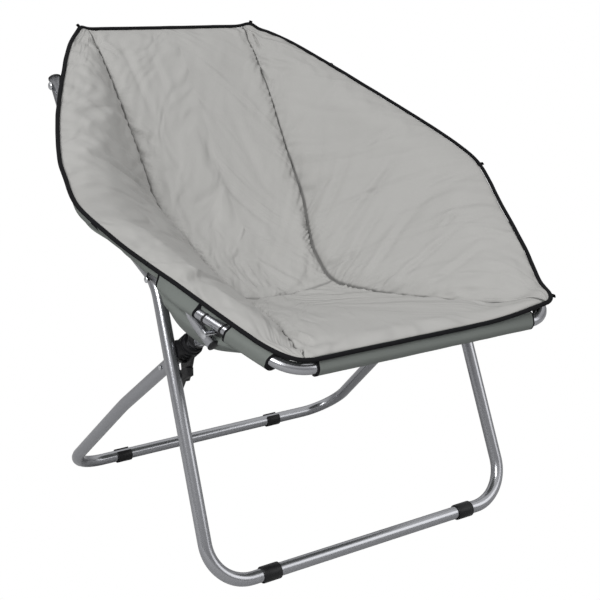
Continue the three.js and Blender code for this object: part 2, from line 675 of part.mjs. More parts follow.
function sampled(table, place_share) {
  const place_at = place_share * (table.length - 1);
  const low = Math.min(Math.floor(place_at), table.length - 2);
  return table[low] + (table[low + 1] - table[low]) * (place_at - low);
}

function hemWidth(along) {
  const near = 1 - Math.min(Math.abs(along - hinge_hem_along) / hinge_hem_reach, 1);
  return hem_width + (hinge_hem_width - hem_width) * THREE.MathUtils.smoothstep(near, 0, 0.6);
}

// One station's points from the left rim to the right rim, as across, along, lift and thickness
function station(share) {
  const seam_along = reach(sampled(seam_along_share, share));
  const seam_half = sampled(seam_half_share, share) * rim_half_width;
  const seam_lift = -sampled(seam_depth_share, share) * cushion_depth;
  const rim_along = reach(sampled(rim_along_share, share));
  const rim_half = rimHalf(rim_along);
  const rim_lift = edgeLift(rim_along);
  const hem = hemWidth(rim_along);
  const sag = sampled(sag_share, share) * middle_sag;
  const panel = Math.hypot(rim_half - seam_half - hem, rim_lift - hem_drop - seam_lift);
  const end_gap = Math.min(rim_along + rim_front_reach, rim_back_reach - rim_along);
  const full = cushion_hem
    + (cushion_thickness - cushion_hem) * THREE.MathUtils.smoothstep(end_gap, hem_width, hem_width + hem_ramp);
  const right = [[rim_half, rim_along, rim_lift, cushion_hem]];
  const ramp = Math.min(hem_ramp / panel, 1 / side_steps);
  const stops = [0, ramp, ...range(ramp, 1, side_steps).slice(1)];
  for (const stop of stops) {
    right.push([
      rim_half - hem + (seam_half - rim_half + hem) * stop,
      rim_along + (seam_along - rim_along) * stop,
      rim_lift - hem_drop + (seam_lift - rim_lift + hem_drop) * stop
        + panel_crown * Math.sin(Math.PI * stop) * Math.min(panel / rim_half, 1),
      stop > 0 ? full : cushion_hem,
    ]);
  }
  for (const inward of range(0, 1, middle_steps).slice(1)) {
    right.push([
      seam_half * (1 - inward),
      seam_along,
      seam_lift - sag * Math.sin((Math.PI / 2) * inward),
      full,
    ]);
  }
  const left = right.slice(0, -1).map(([x, along, lift, thick]) => [-x, along, lift, thick]);
  return [...left, ...right.reverse()];
}

// A closed cushion through a row of stations
function cushion(shares) {
  const rows = shares.map(station);
  const across_count = rows[0].length;
  const positions = [];
  for (const side of [0, 1]) {
    for (const row of rows) {
      for (const [x, along, lift, thick] of row) {
        positions.push(...onRim(x, along, lift - side * thick).toArray());
      }
    }
  }
  const sheet = rows.length * across_count;
  const index = [];
  const quad = (a, b, c, d) => index.push(a, b, c, a, c, d);
  for (let r = 0; r < rows.length - 1; r += 1) {
    for (let c = 0; c < across_count - 1; c += 1) {
      const a = r * across_count + c;
      const b = a + across_count;
      quad(a, a + 1, b + 1, b);
      quad(sheet + a, sheet + b, sheet + b + 1, sheet + a + 1);
    }
  }
  for (let c = 0; c < across_count - 1; c += 1) {
    const last = (rows.length - 1) * across_count + c;
    quad(c, sheet + c, sheet + c + 1, c + 1);
    quad(last, last + 1, sheet + last + 1, sheet + last);
  }
  for (let r = 0; r < rows.length - 1; r += 1) {
    const a = r * across_count;
    const b = a + across_count;
    quad(a, b, sheet + b, sheet + a);
    const right = a + across_count - 1;
    quad(right, sheet + right, sheet + right + across_count, right + across_count);
  }
  const geometry = new THREE.BufferGeometry();
  geometry.setAttribute('position', new THREE.BufferAttribute(new Float32Array(positions), 3));
  geometry.setIndex(index);
  return geometry;
}

function range(from, to, count) {
  return Array.from({ length: count + 1 }, (_, i) => from + ((to - from) * i) / count);
}

// Where along the table of stations the rim reaches a given place
function shareAt(along) {
  let low = 0;
  let high = 1;
  for (let i = 0; i < 40; i += 1) {
    const middle = (low + high) / 2;
    if (reach(sampled(rim_along_share, middle)) < along) {
      low = middle;
    } else {
      high = middle;
    }
  }
  return low;
}

// Black piping round the edge of the cushion, from one end near the hinge to the other
const front_piping_share = [-0.5, -0.62, -0.75, -0.87, -0.96];
const rear_piping_share = [-0.2, -0.13, -0.065, -0.022, 0.022, 0.065, 0.15, 0.38, 0.66, 0.9];

function pipingLine(from, shares, last_share) {
  const edge = reach(last_share * edge_share);
  const alongs = [from, ...shares.map(reach), edge];
  const right = alongs.map((along) => onRim(
    rimHalf(along) + piping_outset / Math.cos(Math.atan(along < 0 ? edge_taper : back_taper)),
    along,
    edgeLift(along) + piping_lift,
  ));
  const corner = onRim(
    rimHalf(edge) + piping_outset * corner_share,
    edge + Math.sign(edge) * piping_outset,
    edgeLift(edge) + piping_lift,
  );
  return [...right, corner, ...mirrored([...right, corner]).reverse()];
}

class Chain extends THREE.Curve {
  constructor(points) {
    super();
    this.points = points;
  }

  getPoint(t) {
    const at = Math.min(Math.max(t, 0), 1) * (this.points.length - 1);
    const low = Math.min(Math.floor(at), this.points.length - 2);
    return this.points[low].clone().lerp(this.points[low + 1], at - low);
  }

  getPointAt(t) {
    return this.getPoint(t);
  }

  getTangentAt(t) {
    const at = Math.round(t * (this.points.length - 1));
    const before = this.points[Math.max(at - 1, 0)];
    const after = this.points[Math.min(at + 1, this.points.length - 1)];
    return after.clone().sub(before).normalize();
  }
}

function pipe(points) {
  const line = new Chain(points);
  const section = new THREE.Shape(outline(piping / 2, 6));
  return new THREE.ExtrudeGeometry(section, { steps: points.length - 1, extrudePath: line, bevelEnabled: false });
}

function buildSeat() {
  const split = shareAt(hinge_along);
  const split_share = cushion_split / rim_front_reach / 2;
  const hem_front = shareAt(-rim_front_reach + hem_width + overrun);
  const ramp_front = shareAt(-rim_front_reach + hem_width + hem_ramp + overrun);
  const hem_back = shareAt(rim_back_reach - hem_width - overrun);
  const ramp_back = shareAt(rim_back_reach - hem_width - hem_ramp - overrun);
  const front = cushion([0, hem_front, ...range(ramp_front, split - split_share, 5)]);
  const rear = cushion([...range(split + split_share, ramp_back, 13), hem_back, 1]);
  const saddle_head = across(saddle_bolt, rear_leg_top_half - leg_tube / 2 - 2 * bolt_head_height);
  const leg_tip = legEnd(saddle_bolt, rearLegPoint(rear_leg_neck_z), 2 * rear_leg_end);
  const tools = [
    sweep(front_leg_line, leg_tube * facet_slack + 2 * overrun),
    sweep(rear_leg_line, leg_tube * facet_slack + 2 * overrun),
    sweep(front_rim_line, (sleeve_bore + 2 * sleeve_wall) * facet_slack + seat_gap),
    sweep(rear_rim_line, (sleeve_bore + 2 * sleeve_wall) * facet_slack + seat_gap),
    ...bothSides(rod(saddle_bolt, leg_tip, leg_tube + 2 * overrun)),
    ...bothSides(rod(saddle_head, across(saddle_bolt, rim_half_width), bolt_head + overrun)),
    ...bothSides(rod(across(hinge, hinge.x - rim_tube), across(hinge, hinge_half), bush_diameter + overrun)),
    ...bothSides(rod(
      across(back_bolt, rim_half_width),
      across(back_bolt, rim_half_width - back_taper * back_bolt_along - rim_tube),
      bolt_head + overrun,
    )),
  ];
  place('front_cushion', trim(front, ...tools), grey_fabric);
  place('rear_cushion', trim(rear, ...tools), grey_fabric);
  place('front_piping', pipe(pipingLine(hinge_along - cushion_split, front_piping_share, -1)), piping_fabric);
  place('rear_piping', pipe(pipingLine(hinge_along + cushion_split, rear_piping_share, 1)), piping_fabric);
}

buildFrames();
buildHinges();
buildSaddles();
buildBackBolts();
buildHubs();
buildLock();
buildFeet();
buildPlugs();
buildStopRivets();
buildSleeves();
buildSeat();

// The origin goes on the floor, under the middle of the chair
const box = new THREE.Box3().setFromObject(chair);
chair.position.set(-(box.min.x + box.max.x) / 2, -(box.min.y + box.max.y) / 2, -box.min.z);

export default chair;
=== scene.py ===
"""Folding saucer chair: a light grey padded dish with black piping, in a two-part tube rim on crossed legs.
Metres, in the frame of the CAD model: +Z up, the chair faces -Y, and left is the -X side."""

import math

import bmesh
import bpy
import numpy as np
from mathutils import Matrix, Vector, noise


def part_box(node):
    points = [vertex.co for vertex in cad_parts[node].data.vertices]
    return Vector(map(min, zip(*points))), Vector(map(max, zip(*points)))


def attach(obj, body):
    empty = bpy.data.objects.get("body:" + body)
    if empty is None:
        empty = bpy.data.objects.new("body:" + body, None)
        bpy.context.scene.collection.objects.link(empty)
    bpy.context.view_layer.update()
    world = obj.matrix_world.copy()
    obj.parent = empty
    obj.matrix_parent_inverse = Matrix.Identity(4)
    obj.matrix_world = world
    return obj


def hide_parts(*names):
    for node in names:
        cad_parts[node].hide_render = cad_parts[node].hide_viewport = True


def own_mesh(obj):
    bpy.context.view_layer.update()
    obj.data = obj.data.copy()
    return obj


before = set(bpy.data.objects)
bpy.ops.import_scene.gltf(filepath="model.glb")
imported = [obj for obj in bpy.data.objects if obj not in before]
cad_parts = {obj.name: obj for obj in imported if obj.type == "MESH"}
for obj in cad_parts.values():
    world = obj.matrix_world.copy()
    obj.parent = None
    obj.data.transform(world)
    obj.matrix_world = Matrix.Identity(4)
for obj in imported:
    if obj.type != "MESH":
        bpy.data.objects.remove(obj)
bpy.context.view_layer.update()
MM = 0.001

# Bent steel tubes: the two leg frames and the two halves of the rim. Each is one bent tube, powder coated
# silver-grey. They lie beside the CAD tubes' middle lines, where the photograph shows them, with finer bends.
LEG_TUBE = 22 * MM
RIM_TUBE = 18 * MM
FLOOR_BAR = Vector(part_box("front_leg")[0]) + Vector((0, LEG_TUBE / 2, LEG_TUBE / 2))
RIM_TILT = math.radians(27.8)
RIM_CENTRE = Vector((0, FLOOR_BAR.y + 223 * MM, FLOOR_BAR.z + 570.4 * MM))
RIM_HALF_WIDTH = 417 * MM
RIM_FRONT = 402 * MM
RIM_BACK = 535 * MM
RIM_FRONT_HALF = 244 * MM
RIM_BACK_HALF = 186.5 * MM
REAR_RIM_DROP = 12 * MM
HINGE_ALONG = -152 * MM
HINGE_LIFT = -24.4 * MM
FRONT_TAPER = (RIM_HALF_WIDTH - RIM_FRONT_HALF) / RIM_FRONT
BACK_TAPER = (RIM_HALF_WIDTH - RIM_BACK_HALF) / RIM_BACK
BEND_STEP = math.radians(4)
TUBE_ROUNDNESS = 6


def on_rim(across, along, lift):
    """A point given across, along and above the plane of the rim."""
    return RIM_CENTRE + Vector((
        across,
        along * math.cos(RIM_TILT) - lift * math.sin(RIM_TILT),
        along * math.sin(RIM_TILT) + lift * math.cos(RIM_TILT),
    ))


def on_floor(x, y, z):
    """A point in millimetres from the middle of the front floor bar."""
    return Vector((x * MM, FLOOR_BAR.y + y * MM, FLOOR_BAR.z + z * MM))


def bent(corners, radii):
    """The middle line of a bent tube, mirrored to the other side of the chair."""
    line = [corners[0]]
    mirror = [Vector((-p.x, p.y, p.z)) for p in reversed(corners)]
    corners = corners + mirror
    radii = radii + list(reversed(radii))
    for before, corner, after, radius in zip(corners, corners[1:], corners[2:], radii):
        arriving = (corner - before).normalized()
        leaving = (after - corner).normalized()
        turn = arriving.angle(leaving)
        start = corner - arriving * radius * math.tan(turn / 2)
        axis = arriving.cross(leaving).normalized()
        inward = axis.cross(arriving).normalized()
        centre = start + inward * radius
        count = max(3, round(turn / BEND_STEP))
        for i in range(count + 1):
            line.append(centre + Matrix.Rotation(turn * i / count, 3, axis) @ (-inward * radius))
    line.append(corners[-1])
    return line


def finish_mesh(name, bm, *materials):
    """A mesh object from a bmesh, with its place in its mesh."""
    mesh = bpy.data.meshes.new(name)
    bm.to_mesh(mesh)
    bm.free()
    for polygon in mesh.polygons:
        polygon.use_smooth = True
    for material in materials:
        mesh.materials.append(material)
    piece = bpy.data.objects.new(name, mesh)
    bpy.context.scene.collection.objects.link(piece)
    return piece


def fitted(piece, body, node, finish):
    """Ties a finished piece to its body and hides the CAD node that it stands for. The finish is not used."""
    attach(piece, body)
    if node:
        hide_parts(node)


def sweep(name, line, diameter, material):
    """A round tube along a line of points, closed at both ends."""
    curve = bpy.data.curves.new(name, "CURVE")
    curve.dimensions = "3D"
    curve.bevel_depth = diameter / 2
    curve.bevel_resolution = TUBE_ROUNDNESS
    curve.use_fill_caps = True
    spline = curve.splines.new("POLY")
    spline.points.add(len(line) - 1)
    for place, point in zip(spline.points, line):
        place.co = (*point, 1)
    shape = bpy.data.objects.new(name + "_line", curve)
    bpy.context.scene.collection.objects.link(shape)
    mesh = bpy.data.meshes.new_from_object(shape.evaluated_get(bpy.context.evaluated_depsgraph_get()))
    bpy.data.objects.remove(shape)
    bpy.data.curves.remove(curve)
    bm = bmesh.new()
    bm.from_mesh(mesh)
    bpy.data.meshes.remove(mesh)
    bmesh.ops.remove_doubles(bm, verts=bm.verts, dist=0.01 * MM)
    bmesh.ops.recalc_face_normals(bm, faces=bm.faces)
    return finish_mesh(name, bm, material)


def new_material(name, color, roughness, metallic=0.0, shine=0.5):
    """A Principled material with plain values, and its nodes."""
    material = bpy.data.materials.new(name)
    material.use_nodes = True
    nodes = material.node_tree.nodes
    shader = nodes["Principled BSDF"]
    shader.inputs["Base Color"].default_value = (*color, 1)
    shader.inputs["Roughness"].default_value = roughness
    shader.inputs["Metallic"].default_value = metallic
    shader.inputs["Specular IOR Level"].default_value = shine
    return material, nodes, material.node_tree.links, shader


def grain_group():
    """Uneven tone and a fine bump, for paint, plastic and cloth."""
    group = bpy.data.node_groups.new("fine_grain", "ShaderNodeTree")
    face = group.interface
    face.new_socket("Coordinates", in_out="INPUT", socket_type="NodeSocketVector")
    for label, value in (("Grain Scale", 900.0), ("Cloud Scale", 12.0), ("Tone Spread", 0.1),
                         ("Base Roughness", 0.5), ("Roughness Spread", 0.1)):
        socket = face.new_socket(label, in_out="INPUT", socket_type="NodeSocketFloat")
        socket.default_value = value
    color = face.new_socket("Color", in_out="INPUT", socket_type="NodeSocketColor")
    color.default_value = (0.5, 0.5, 0.5, 1)
    for label, kind in (("Color", "NodeSocketColor"), ("Roughness", "NodeSocketFloat"),
                        ("Height", "NodeSocketFloat")):
        face.new_socket(label, in_out="OUTPUT", socket_type=kind)
    nodes, links = group.nodes, group.links
    given, result = nodes.new("NodeGroupInput"), nodes.new("NodeGroupOutput")
    fine, cloud = nodes.new("ShaderNodeTexNoise"), nodes.new("ShaderNodeTexNoise")
    fine.inputs["Detail"].default_value = 3
    cloud.inputs["Detail"].default_value = 4
    for texture, label in ((fine, "Grain Scale"), (cloud, "Cloud Scale")):
        links.new(given.outputs["Coordinates"], texture.inputs["Vector"])
        links.new(given.outputs[label], texture.inputs["Scale"])
    centred = nodes.new("ShaderNodeMath")
    centred.operation = "SUBTRACT"
    centred.inputs[1].default_value = 0.5
    links.new(cloud.outputs["Fac"], centred.inputs[0])
    tone = nodes.new("ShaderNodeMath")
    tone.operation = "MULTIPLY_ADD"
    tone.inputs[2].default_value = 1.0
    links.new(centred.outputs[0], tone.inputs[0])
    links.new(given.outputs["Tone Spread"], tone.inputs[1])
    shade = nodes.new("ShaderNodeVectorMath")
    shade.operation = "SCALE"
    links.new(given.outputs["Color"], shade.inputs[0])
    links.new(tone.outputs[0], shade.inputs["Scale"])
    rough = nodes.new("ShaderNodeMath")
    rough.operation = "MULTIPLY_ADD"
    links.new(centred.outputs[0], rough.inputs[0])
    links.new(given.outputs["Roughness Spread"], rough.inputs[1])
    links.new(given.outputs["Base Roughness"], rough.inputs[2])
    links.new(shade.outputs[0], result.inputs["Color"])
    links.new(rough.outputs[0], result.inputs["Roughness"])
    links.new(fine.outputs["Fac"], result.inputs["Height"])
    return group


FINE_GRAIN = grain_group()


def grained(name, color, roughness, metallic=0.0, grain=900.0, cloud=12.0, tone=0.1, rough_spread=0.1,
            bump=0.1, depth=0.05 * MM, shine=0.5):
    """A Principled material whose tone, roughness and bump come from the shared grain group."""
    material, nodes, links, shader = new_material(name, color, roughness, metallic, shine)
    place = nodes.new("ShaderNodeTexCoord")
    group = nodes.new("ShaderNodeGroup")
    group.node_tree = FINE_GRAIN
    group.inputs["Grain Scale"].default_value = grain
    group.inputs["Cloud Scale"].default_value = cloud
    group.inputs["Tone Spread"].default_value = tone
    group.inputs["Base Roughness"].default_value = roughness
    group.inputs["Roughness Spread"].default_value = rough_spread
    group.inputs["Color"].default_value = (*color, 1)
    relief = nodes.new("ShaderNodeBump")
    relief.inputs["Strength"].default_value = bump
    relief.inputs["Distance"].default_value = depth
    links.new(place.outputs["Object"], group.inputs["Coordinates"])
    links.new(group.outputs["Color"], shader.inputs["Base Color"])
    links.new(group.outputs["Roughness"], shader.inputs["Roughness"])
    links.new(group.outputs["Height"], relief.inputs["Height"])
    links.new(relief.outputs["Normal"], shader.inputs["Normal"])
    return material, nodes, links, shader, relief


TUBE_PAINT = grained("silver_powder_coat", (0.38, 0.385, 0.405), 0.24, metallic=0.92, grain=1400, cloud=9,
                     tone=0.06, rough_spread=0.03, bump=0.0)[0]

LEG_TOP = on_rim(294 * MM, 360 * MM, -REAR_RIM_DROP)
LEG_BOLT = on_rim(270 * MM, -280 * MM, -25.6 * MM)
FRONT_LEG_PAST_BOLT, REAR_LEG_PAST_BOLT = 15 * MM, 11 * MM
FRONT_LEG = [LEG_TOP.copy(), on_floor(300, 415, 553), on_floor(291.5, 184.5, 449.5), on_floor(303.8, 0, 0)]
REAR_LEG = [LEG_BOLT.copy(), on_floor(260.06, 121.76, 362), on_floor(284.9, 342.3, 193),
            on_floor(312.7, 562.5, 0)]
FRONT_LEG[0] += (FRONT_LEG[0] - FRONT_LEG[1]).normalized() * FRONT_LEG_PAST_BOLT
REAR_LEG[0] += (REAR_LEG[0] - REAR_LEG[1]).normalized() * REAR_LEG_PAST_BOLT
FRONT_RIM = [on_rim(340 * MM, HINGE_ALONG + 3 * MM, -18 * MM), on_rim(324 * MM, -215 * MM, -17.5 * MM),
             on_rim(RIM_FRONT_HALF + 1 * MM, -RIM_FRONT - 1 * MM, -3 * MM)]
SIDE_CORNER_INSET = 20 * MM
REAR_RIM = [on_rim(298 * MM, -284 * MM, -48 * MM), on_rim(330 * MM, -84 * MM, -19 * MM),
            on_rim(RIM_HALF_WIDTH - SIDE_CORNER_INSET, 0, -REAR_RIM_DROP),
            on_rim(RIM_BACK_HALF, RIM_BACK - 4 * MM, -REAR_RIM_DROP - 3 * MM)]
TUBES = (
    ("front_leg", "front_legs", FRONT_LEG, [70, 70, 70], LEG_TUBE),
    ("rear_leg", "rear_legs", REAR_LEG, [90, 400, 70], LEG_TUBE),
    ("front_rim", "front_rim_half", FRONT_RIM, [70, 55], RIM_TUBE),
    ("rear_rim", "rear_rim_half", REAR_RIM, [40, 80, 55], RIM_TUBE),
)
TUBE_LINES = {}
for node, body, corners, radii, diameter in TUBES:
    TUBE_LINES[node] = bent(corners, [radius * MM for radius in radii])
    tube = sweep(node + "_tube", TUBE_LINES[node], diameter, TUBE_PAINT)
    fitted(tube, body, node, "steel_tube")

# The padded dish: one quilted cover over foam, sewn from four panels. Two seams run from the back corners to
# the front corners, and a crease crosses between back and seat. Each station runs from rim to rim, and its
# places are shares of the reach to the front or back edge, of the half width and of the depth.
SEAM_ALONG_SHARE = (-0.988, -0.65, -0.43, -0.29, -0.128, 0.044, 0.16, 0.307, 0.49, 0.68, 0.84, 0.99)
SEAM_HALF_SHARE = (0.547, 0.393, 0.32, 0.278, 0.247, 0.272, 0.31, 0.369, 0.38, 0.391, 0.4, 0.41)
SEAM_DEPTH_SHARE = (-0.075, 0.357, 0.65, 0.82, 0.976, 1, 0.93, 0.82, 0.58, 0.3, 0.11, -0.015)
RIM_ALONG_SHARE = (-0.997, -0.69, -0.46, -0.28, -0.05, 0.1, 0.21, 0.36, 0.54, 0.72, 0.87, 0.99)
EDGE_BOW_LEFT_MM = (0, 1, 0.5, 0, -4, 4, 17, 24, 25, 20, 13, -6)
EDGE_BOW_RIGHT_MM = (-6, 9, 5, 1, 1, 12, 19, 23, 26, 27, 22, -4)
SAG_SHARE = (0, 0.35, 0.7, 1, 1, 0.9, 0.8, 0.8, 0.7, 0.5, 0.25, 0)
DISH_DEPTH = 194 * MM
PANEL_CROWN, NARROW_PANEL = 4 * MM, 1.4
HEM_ROUNDING, HEM_ROUNDING_REACH = 0.1, 0.8
MIDDLE_SAG = 20 * MM
PADDING = 24 * MM
EDGE_RISE, SEAM_RISE, SEAM_FILL, CREASE_FILL = 32 * MM, 26 * MM, 0.4, 0.55
BELLY, BELLY_BANDS, BELLY_ROWS = 46 * MM, (1.15, 1.97), (0.3, 3.1)
HEM = 3.6 * MM
HEM_WIDTH = 16 * MM
TUBE_COVER = 8 * MM
HINGE_HEM_WIDTH = 40 * MM
FRONT_EDGE_LIFT = 14 * MM
SIDE_EDGE_LIFT = 6 * MM
REAR_EDGE_LIFT = 4 * MM
BACK_EDGE_LIFT = -1 * MM
FRONT_STEP, HINGE_STEP, BACK_STEP = (-398 * MM, -335 * MM), (-215 * MM, -110 * MM), (495 * MM, 530 * MM)
HINGE_HEM_ALONG, HINGE_HEM_REACH, HINGE_HEM_FULL = -105 * MM, 120 * MM, 0.6
SIDE_SOFTNESS = 35 * MM
LEFT_CORNER_ROUND, RIGHT_CORNER_ROUND, CORNER_SHARE = 26 * MM, 12 * MM, 0.8
END_BORDER = 16 * MM
RAISED_CORNERS = ((-188 * MM, 528 * MM, 9 * MM, 15 * MM), (188 * MM, 528 * MM, 9 * MM, 15 * MM),
                  (244 * MM, -402 * MM, 19 * MM, 75 * MM))
ROWS, CREASE_ROW, SIDE_COLUMNS, MIDDLE_COLUMNS = 121, 44, 32, 18
COLUMNS = 2 * (SIDE_COLUMNS + MIDDLE_COLUMNS)
CROWDING = 0.55
STATIONS = len(SEAM_HALF_SHARE) - 1


def smoothstep(value, low, high):
    """A soft rise from 0 at low to 1 at high."""
    share = min(max((value - low) / (high - low), 0), 1)
    return share * share * (3 - 2 * share)


def sampled(table, share):
    """A table's value at a share of its length, on a smooth curve through its entries."""
    place = share * (len(table) - 1)
    low = min(int(place), len(table) - 2)
    t = place - low
    a, b = table[low], table[low + 1]
    before = table[low - 1] if low > 0 else 2 * a - b
    after = table[low + 2] if low + 2 < len(table) else 2 * b - a
    slope_a, slope_b = (b - before) / 2, (after - a) / 2
    return ((2 * t**3 - 3 * t**2 + 1) * a + (t**3 - 2 * t**2 + t) * slope_a
            + (3 * t**2 - 2 * t**3) * b + (t**3 - t**2) * slope_b)


def reach(share):
    """A place along the rim from its share of the way to the front (below 0) or back edge."""
    return share * (RIM_FRONT if share < 0 else RIM_BACK)


def edge_bow(share, side):
    """How much fuller the cover's edge is than the straight tube."""
    return sampled(EDGE_BOW_LEFT_MM if side < 0 else EDGE_BOW_RIGHT_MM, share) * MM


def edge_half(share, side):
    """Half the width of the cover at its edge, rounded at the four corners."""
    along = reach(sampled(RIM_ALONG_SHARE, share))
    half = RIM_HALF_WIDTH - (FRONT_TAPER if along < 0 else BACK_TAPER) * math.hypot(along, SIDE_SOFTNESS)
    half += edge_bow(share, side)
    end_gap = min(along - reach(RIM_ALONG_SHARE[0]), reach(RIM_ALONG_SHARE[-1]) - along)
    corner = LEFT_CORNER_ROUND if side < 0 and along < 0 else RIGHT_CORNER_ROUND
    inside = max(corner - max(end_gap, 0), 0)
    return half - (corner - math.sqrt(corner**2 - inside**2)) * CORNER_SHARE


def edge_lift(along):
    """Height of the edge above the rim's plane: highest at the front, lowest along the back."""
    lift = FRONT_EDGE_LIFT + (SIDE_EDGE_LIFT - FRONT_EDGE_LIFT) * smoothstep(along, *FRONT_STEP)
    lift += (REAR_EDGE_LIFT - SIDE_EDGE_LIFT) * smoothstep(along, *HINGE_STEP)
    return lift + (BACK_EDGE_LIFT - REAR_EDGE_LIFT) * smoothstep(along, *BACK_STEP)


def hem_width(share, side):
    """How far in the flat border reaches: over the tube, and wider beside the hinge."""
    near = 1 - min(abs(reach(sampled(RIM_ALONG_SHARE, share)) - HINGE_HEM_ALONG) / HINGE_HEM_REACH, 1)
    over_tube = HEM_WIDTH + TUBE_COVER + max(edge_bow(share, side), 0)
    return max(over_tube, HEM_WIDTH + (HINGE_HEM_WIDTH - HEM_WIDTH) * smoothstep(near, 0, HINGE_HEM_FULL))


def corner_lift(across, along):
    """How far the cover's tips stand up at its two back corners and at the right front corner."""
    lift = 0
    for corner_across, corner_along, height, width in RAISED_CORNERS:
        gap = math.hypot(across - corner_across, along - corner_along)
        lift += height * math.exp(-(gap / width) ** 2)
    return lift


def cover_point(share, band, side):
    """The upper face at a share of the way back. The band is 2 at the rim, 1 on the seam, 0 in the middle."""
    seam_along = reach(sampled(SEAM_ALONG_SHARE, share))
    seam_half = sampled(SEAM_HALF_SHARE, share) * RIM_HALF_WIDTH
    seam_lift = -sampled(SEAM_DEPTH_SHARE, share) * DISH_DEPTH
    rim_along = reach(sampled(RIM_ALONG_SHARE, share))
    end_gap = min(seam_along + RIM_FRONT, RIM_BACK - seam_along)
    over_tube = smoothstep(end_gap, END_BORDER, 3 * END_BORDER)
    seam_lift = edge_lift(seam_along) * (1 - over_tube) + seam_lift * over_tube
    if band < 1:
        sag = sampled(SAG_SHARE, share) * MIDDLE_SAG * over_tube
        across = side * seam_half * band
        tip = corner_lift(across, seam_along)
        return on_rim(across, seam_along, seam_lift - sag * math.cos(math.pi / 2 * band) + tip)
    half = edge_half(share, side)
    lift = edge_lift(rim_along)
    t = 2 - band
    width = half - seam_half
    hem = hem_width(share, side) / width
    drop = (lift - seam_lift) * max(t - hem, 0) / (1 - hem)
    beyond_hem = (t - hem) / (HEM_ROUNDING_REACH * hem)
    rounding = HEM_ROUNDING * hem * (lift - seam_lift) * math.exp(-(beyond_hem ** 2))
    crown = PANEL_CROWN * math.sin(math.pi * t) * min(width / half * NARROW_PANEL, 1)
    across, along = side * (half - width * t), rim_along + (seam_along - rim_along) * t
    return on_rim(across, along, lift - drop - rounding + crown + corner_lift(across, along))


def grid_bands():
    """(band, side) of each column, closer together beside the seams and the rim."""
    outer = [2 - t + CROWDING * math.sin(2 * math.pi * t) / (2 * math.pi)
             for t in np.linspace(0, 1, SIDE_COLUMNS + 1)]
    inner = [1 - t + CROWDING * math.sin(math.pi * t) / math.pi
             for t in np.linspace(0, 1, MIDDLE_COLUMNS + 1)]
    half = outer + inner[1:]
    return [(band, -1) for band in half] + [(band, 1) for band in reversed(half[:-1])]


def padded_body():
    """The cover as one closed body: an upper and a lower face, sewn together at the rim."""
    bands = grid_bands()
    upper = np.array([[cover_point(r / ROWS, band, side) for band, side in bands] for r in range(ROWS + 1)])
    ahead = np.gradient(upper, axis=0)
    across = np.gradient(upper, axis=1)
    normal = np.cross(across, ahead)
    normal /= np.linalg.norm(normal, axis=2)[..., None]
    step_across = np.linalg.norm(np.diff(upper, axis=1), axis=2)
    step_ahead = np.linalg.norm(np.diff(upper, axis=0), axis=2)
    from_left = np.concatenate([np.zeros((ROWS + 1, 1)), np.cumsum(step_across, axis=1)], axis=1)
    from_front = np.concatenate([np.zeros((1, COLUMNS + 1)), np.cumsum(step_ahead, axis=0)], axis=0)
    to_edge = np.minimum.reduce([from_left, from_left[:, -1:] - from_left,
                                 from_front, from_front[-1:] - from_front])
    seams = (SIDE_COLUMNS, COLUMNS - SIDE_COLUMNS)
    to_seam = np.minimum(*(abs(from_left - from_left[:, seam:seam + 1]) for seam in seams))
    to_crease = abs(from_front - from_front[CREASE_ROW:CREASE_ROW + 1])
    to_crease[:, :seams[0]] = to_crease[:, seams[1] + 1:] = 1

    def rise(distance, width, low):
        share = np.clip(distance / width, 0, 1)
        return low + (1 - low) * share * share * (3 - 2 * share)

    full = rise(to_edge, EDGE_RISE, 0) * np.minimum(rise(to_seam, SEAM_RISE, SEAM_FILL),
                                                    rise(to_crease, SEAM_RISE, CREASE_FILL))
    thick = HEM + (PADDING - HEM) * full
    out = np.array([band for band, _ in bands])
    beyond_seam = np.sin(math.pi * np.clip((out - BELLY_BANDS[0]) / (BELLY_BANDS[1] - BELLY_BANDS[0]), 0, 1))
    row = np.arange(ROWS + 1) * STATIONS / ROWS
    along_belly = np.sin(math.pi * np.clip((row - BELLY_ROWS[0]) / (BELLY_ROWS[1] - BELLY_ROWS[0]), 0, 1))
    thick = thick + BELLY * along_belly[:, None] * beyond_seam[None, :]
    lower = upper - normal * thick[..., None]
    points = np.concatenate([upper.reshape(-1, 3), lower.reshape(-1, 3)])
    wide = COLUMNS + 1
    below = wide * (ROWS + 1)
    faces = []
    for r in range(ROWS):
        for c in range(COLUMNS):
            a = r * wide + c
            faces.append((a, a + 1, a + 1 + wide, a + wide))
            faces.append((a + below, a + wide + below, a + 1 + wide + below, a + 1 + below))
    ring = (list(range(COLUMNS)) + [r * wide + COLUMNS for r in range(ROWS)]
            + [ROWS * wide + c for c in range(COLUMNS, 0, -1)] + [r * wide for r in range(ROWS, 0, -1)])
    for a, b in zip(ring, ring[1:] + ring[:1]):
        faces.append((a, a + below, b + below, b))
    sewn = set(ring) | {r * wide + c for r in range(ROWS + 1) for c in seams}
    creased = {CREASE_ROW * wide + c for c in range(seams[0], seams[1] + 1)} - sewn
    places = [(band * side, r * STATIONS / ROWS) for r in range(ROWS + 1) for band, side in bands]
    return points, faces, sewn, creased, places, below


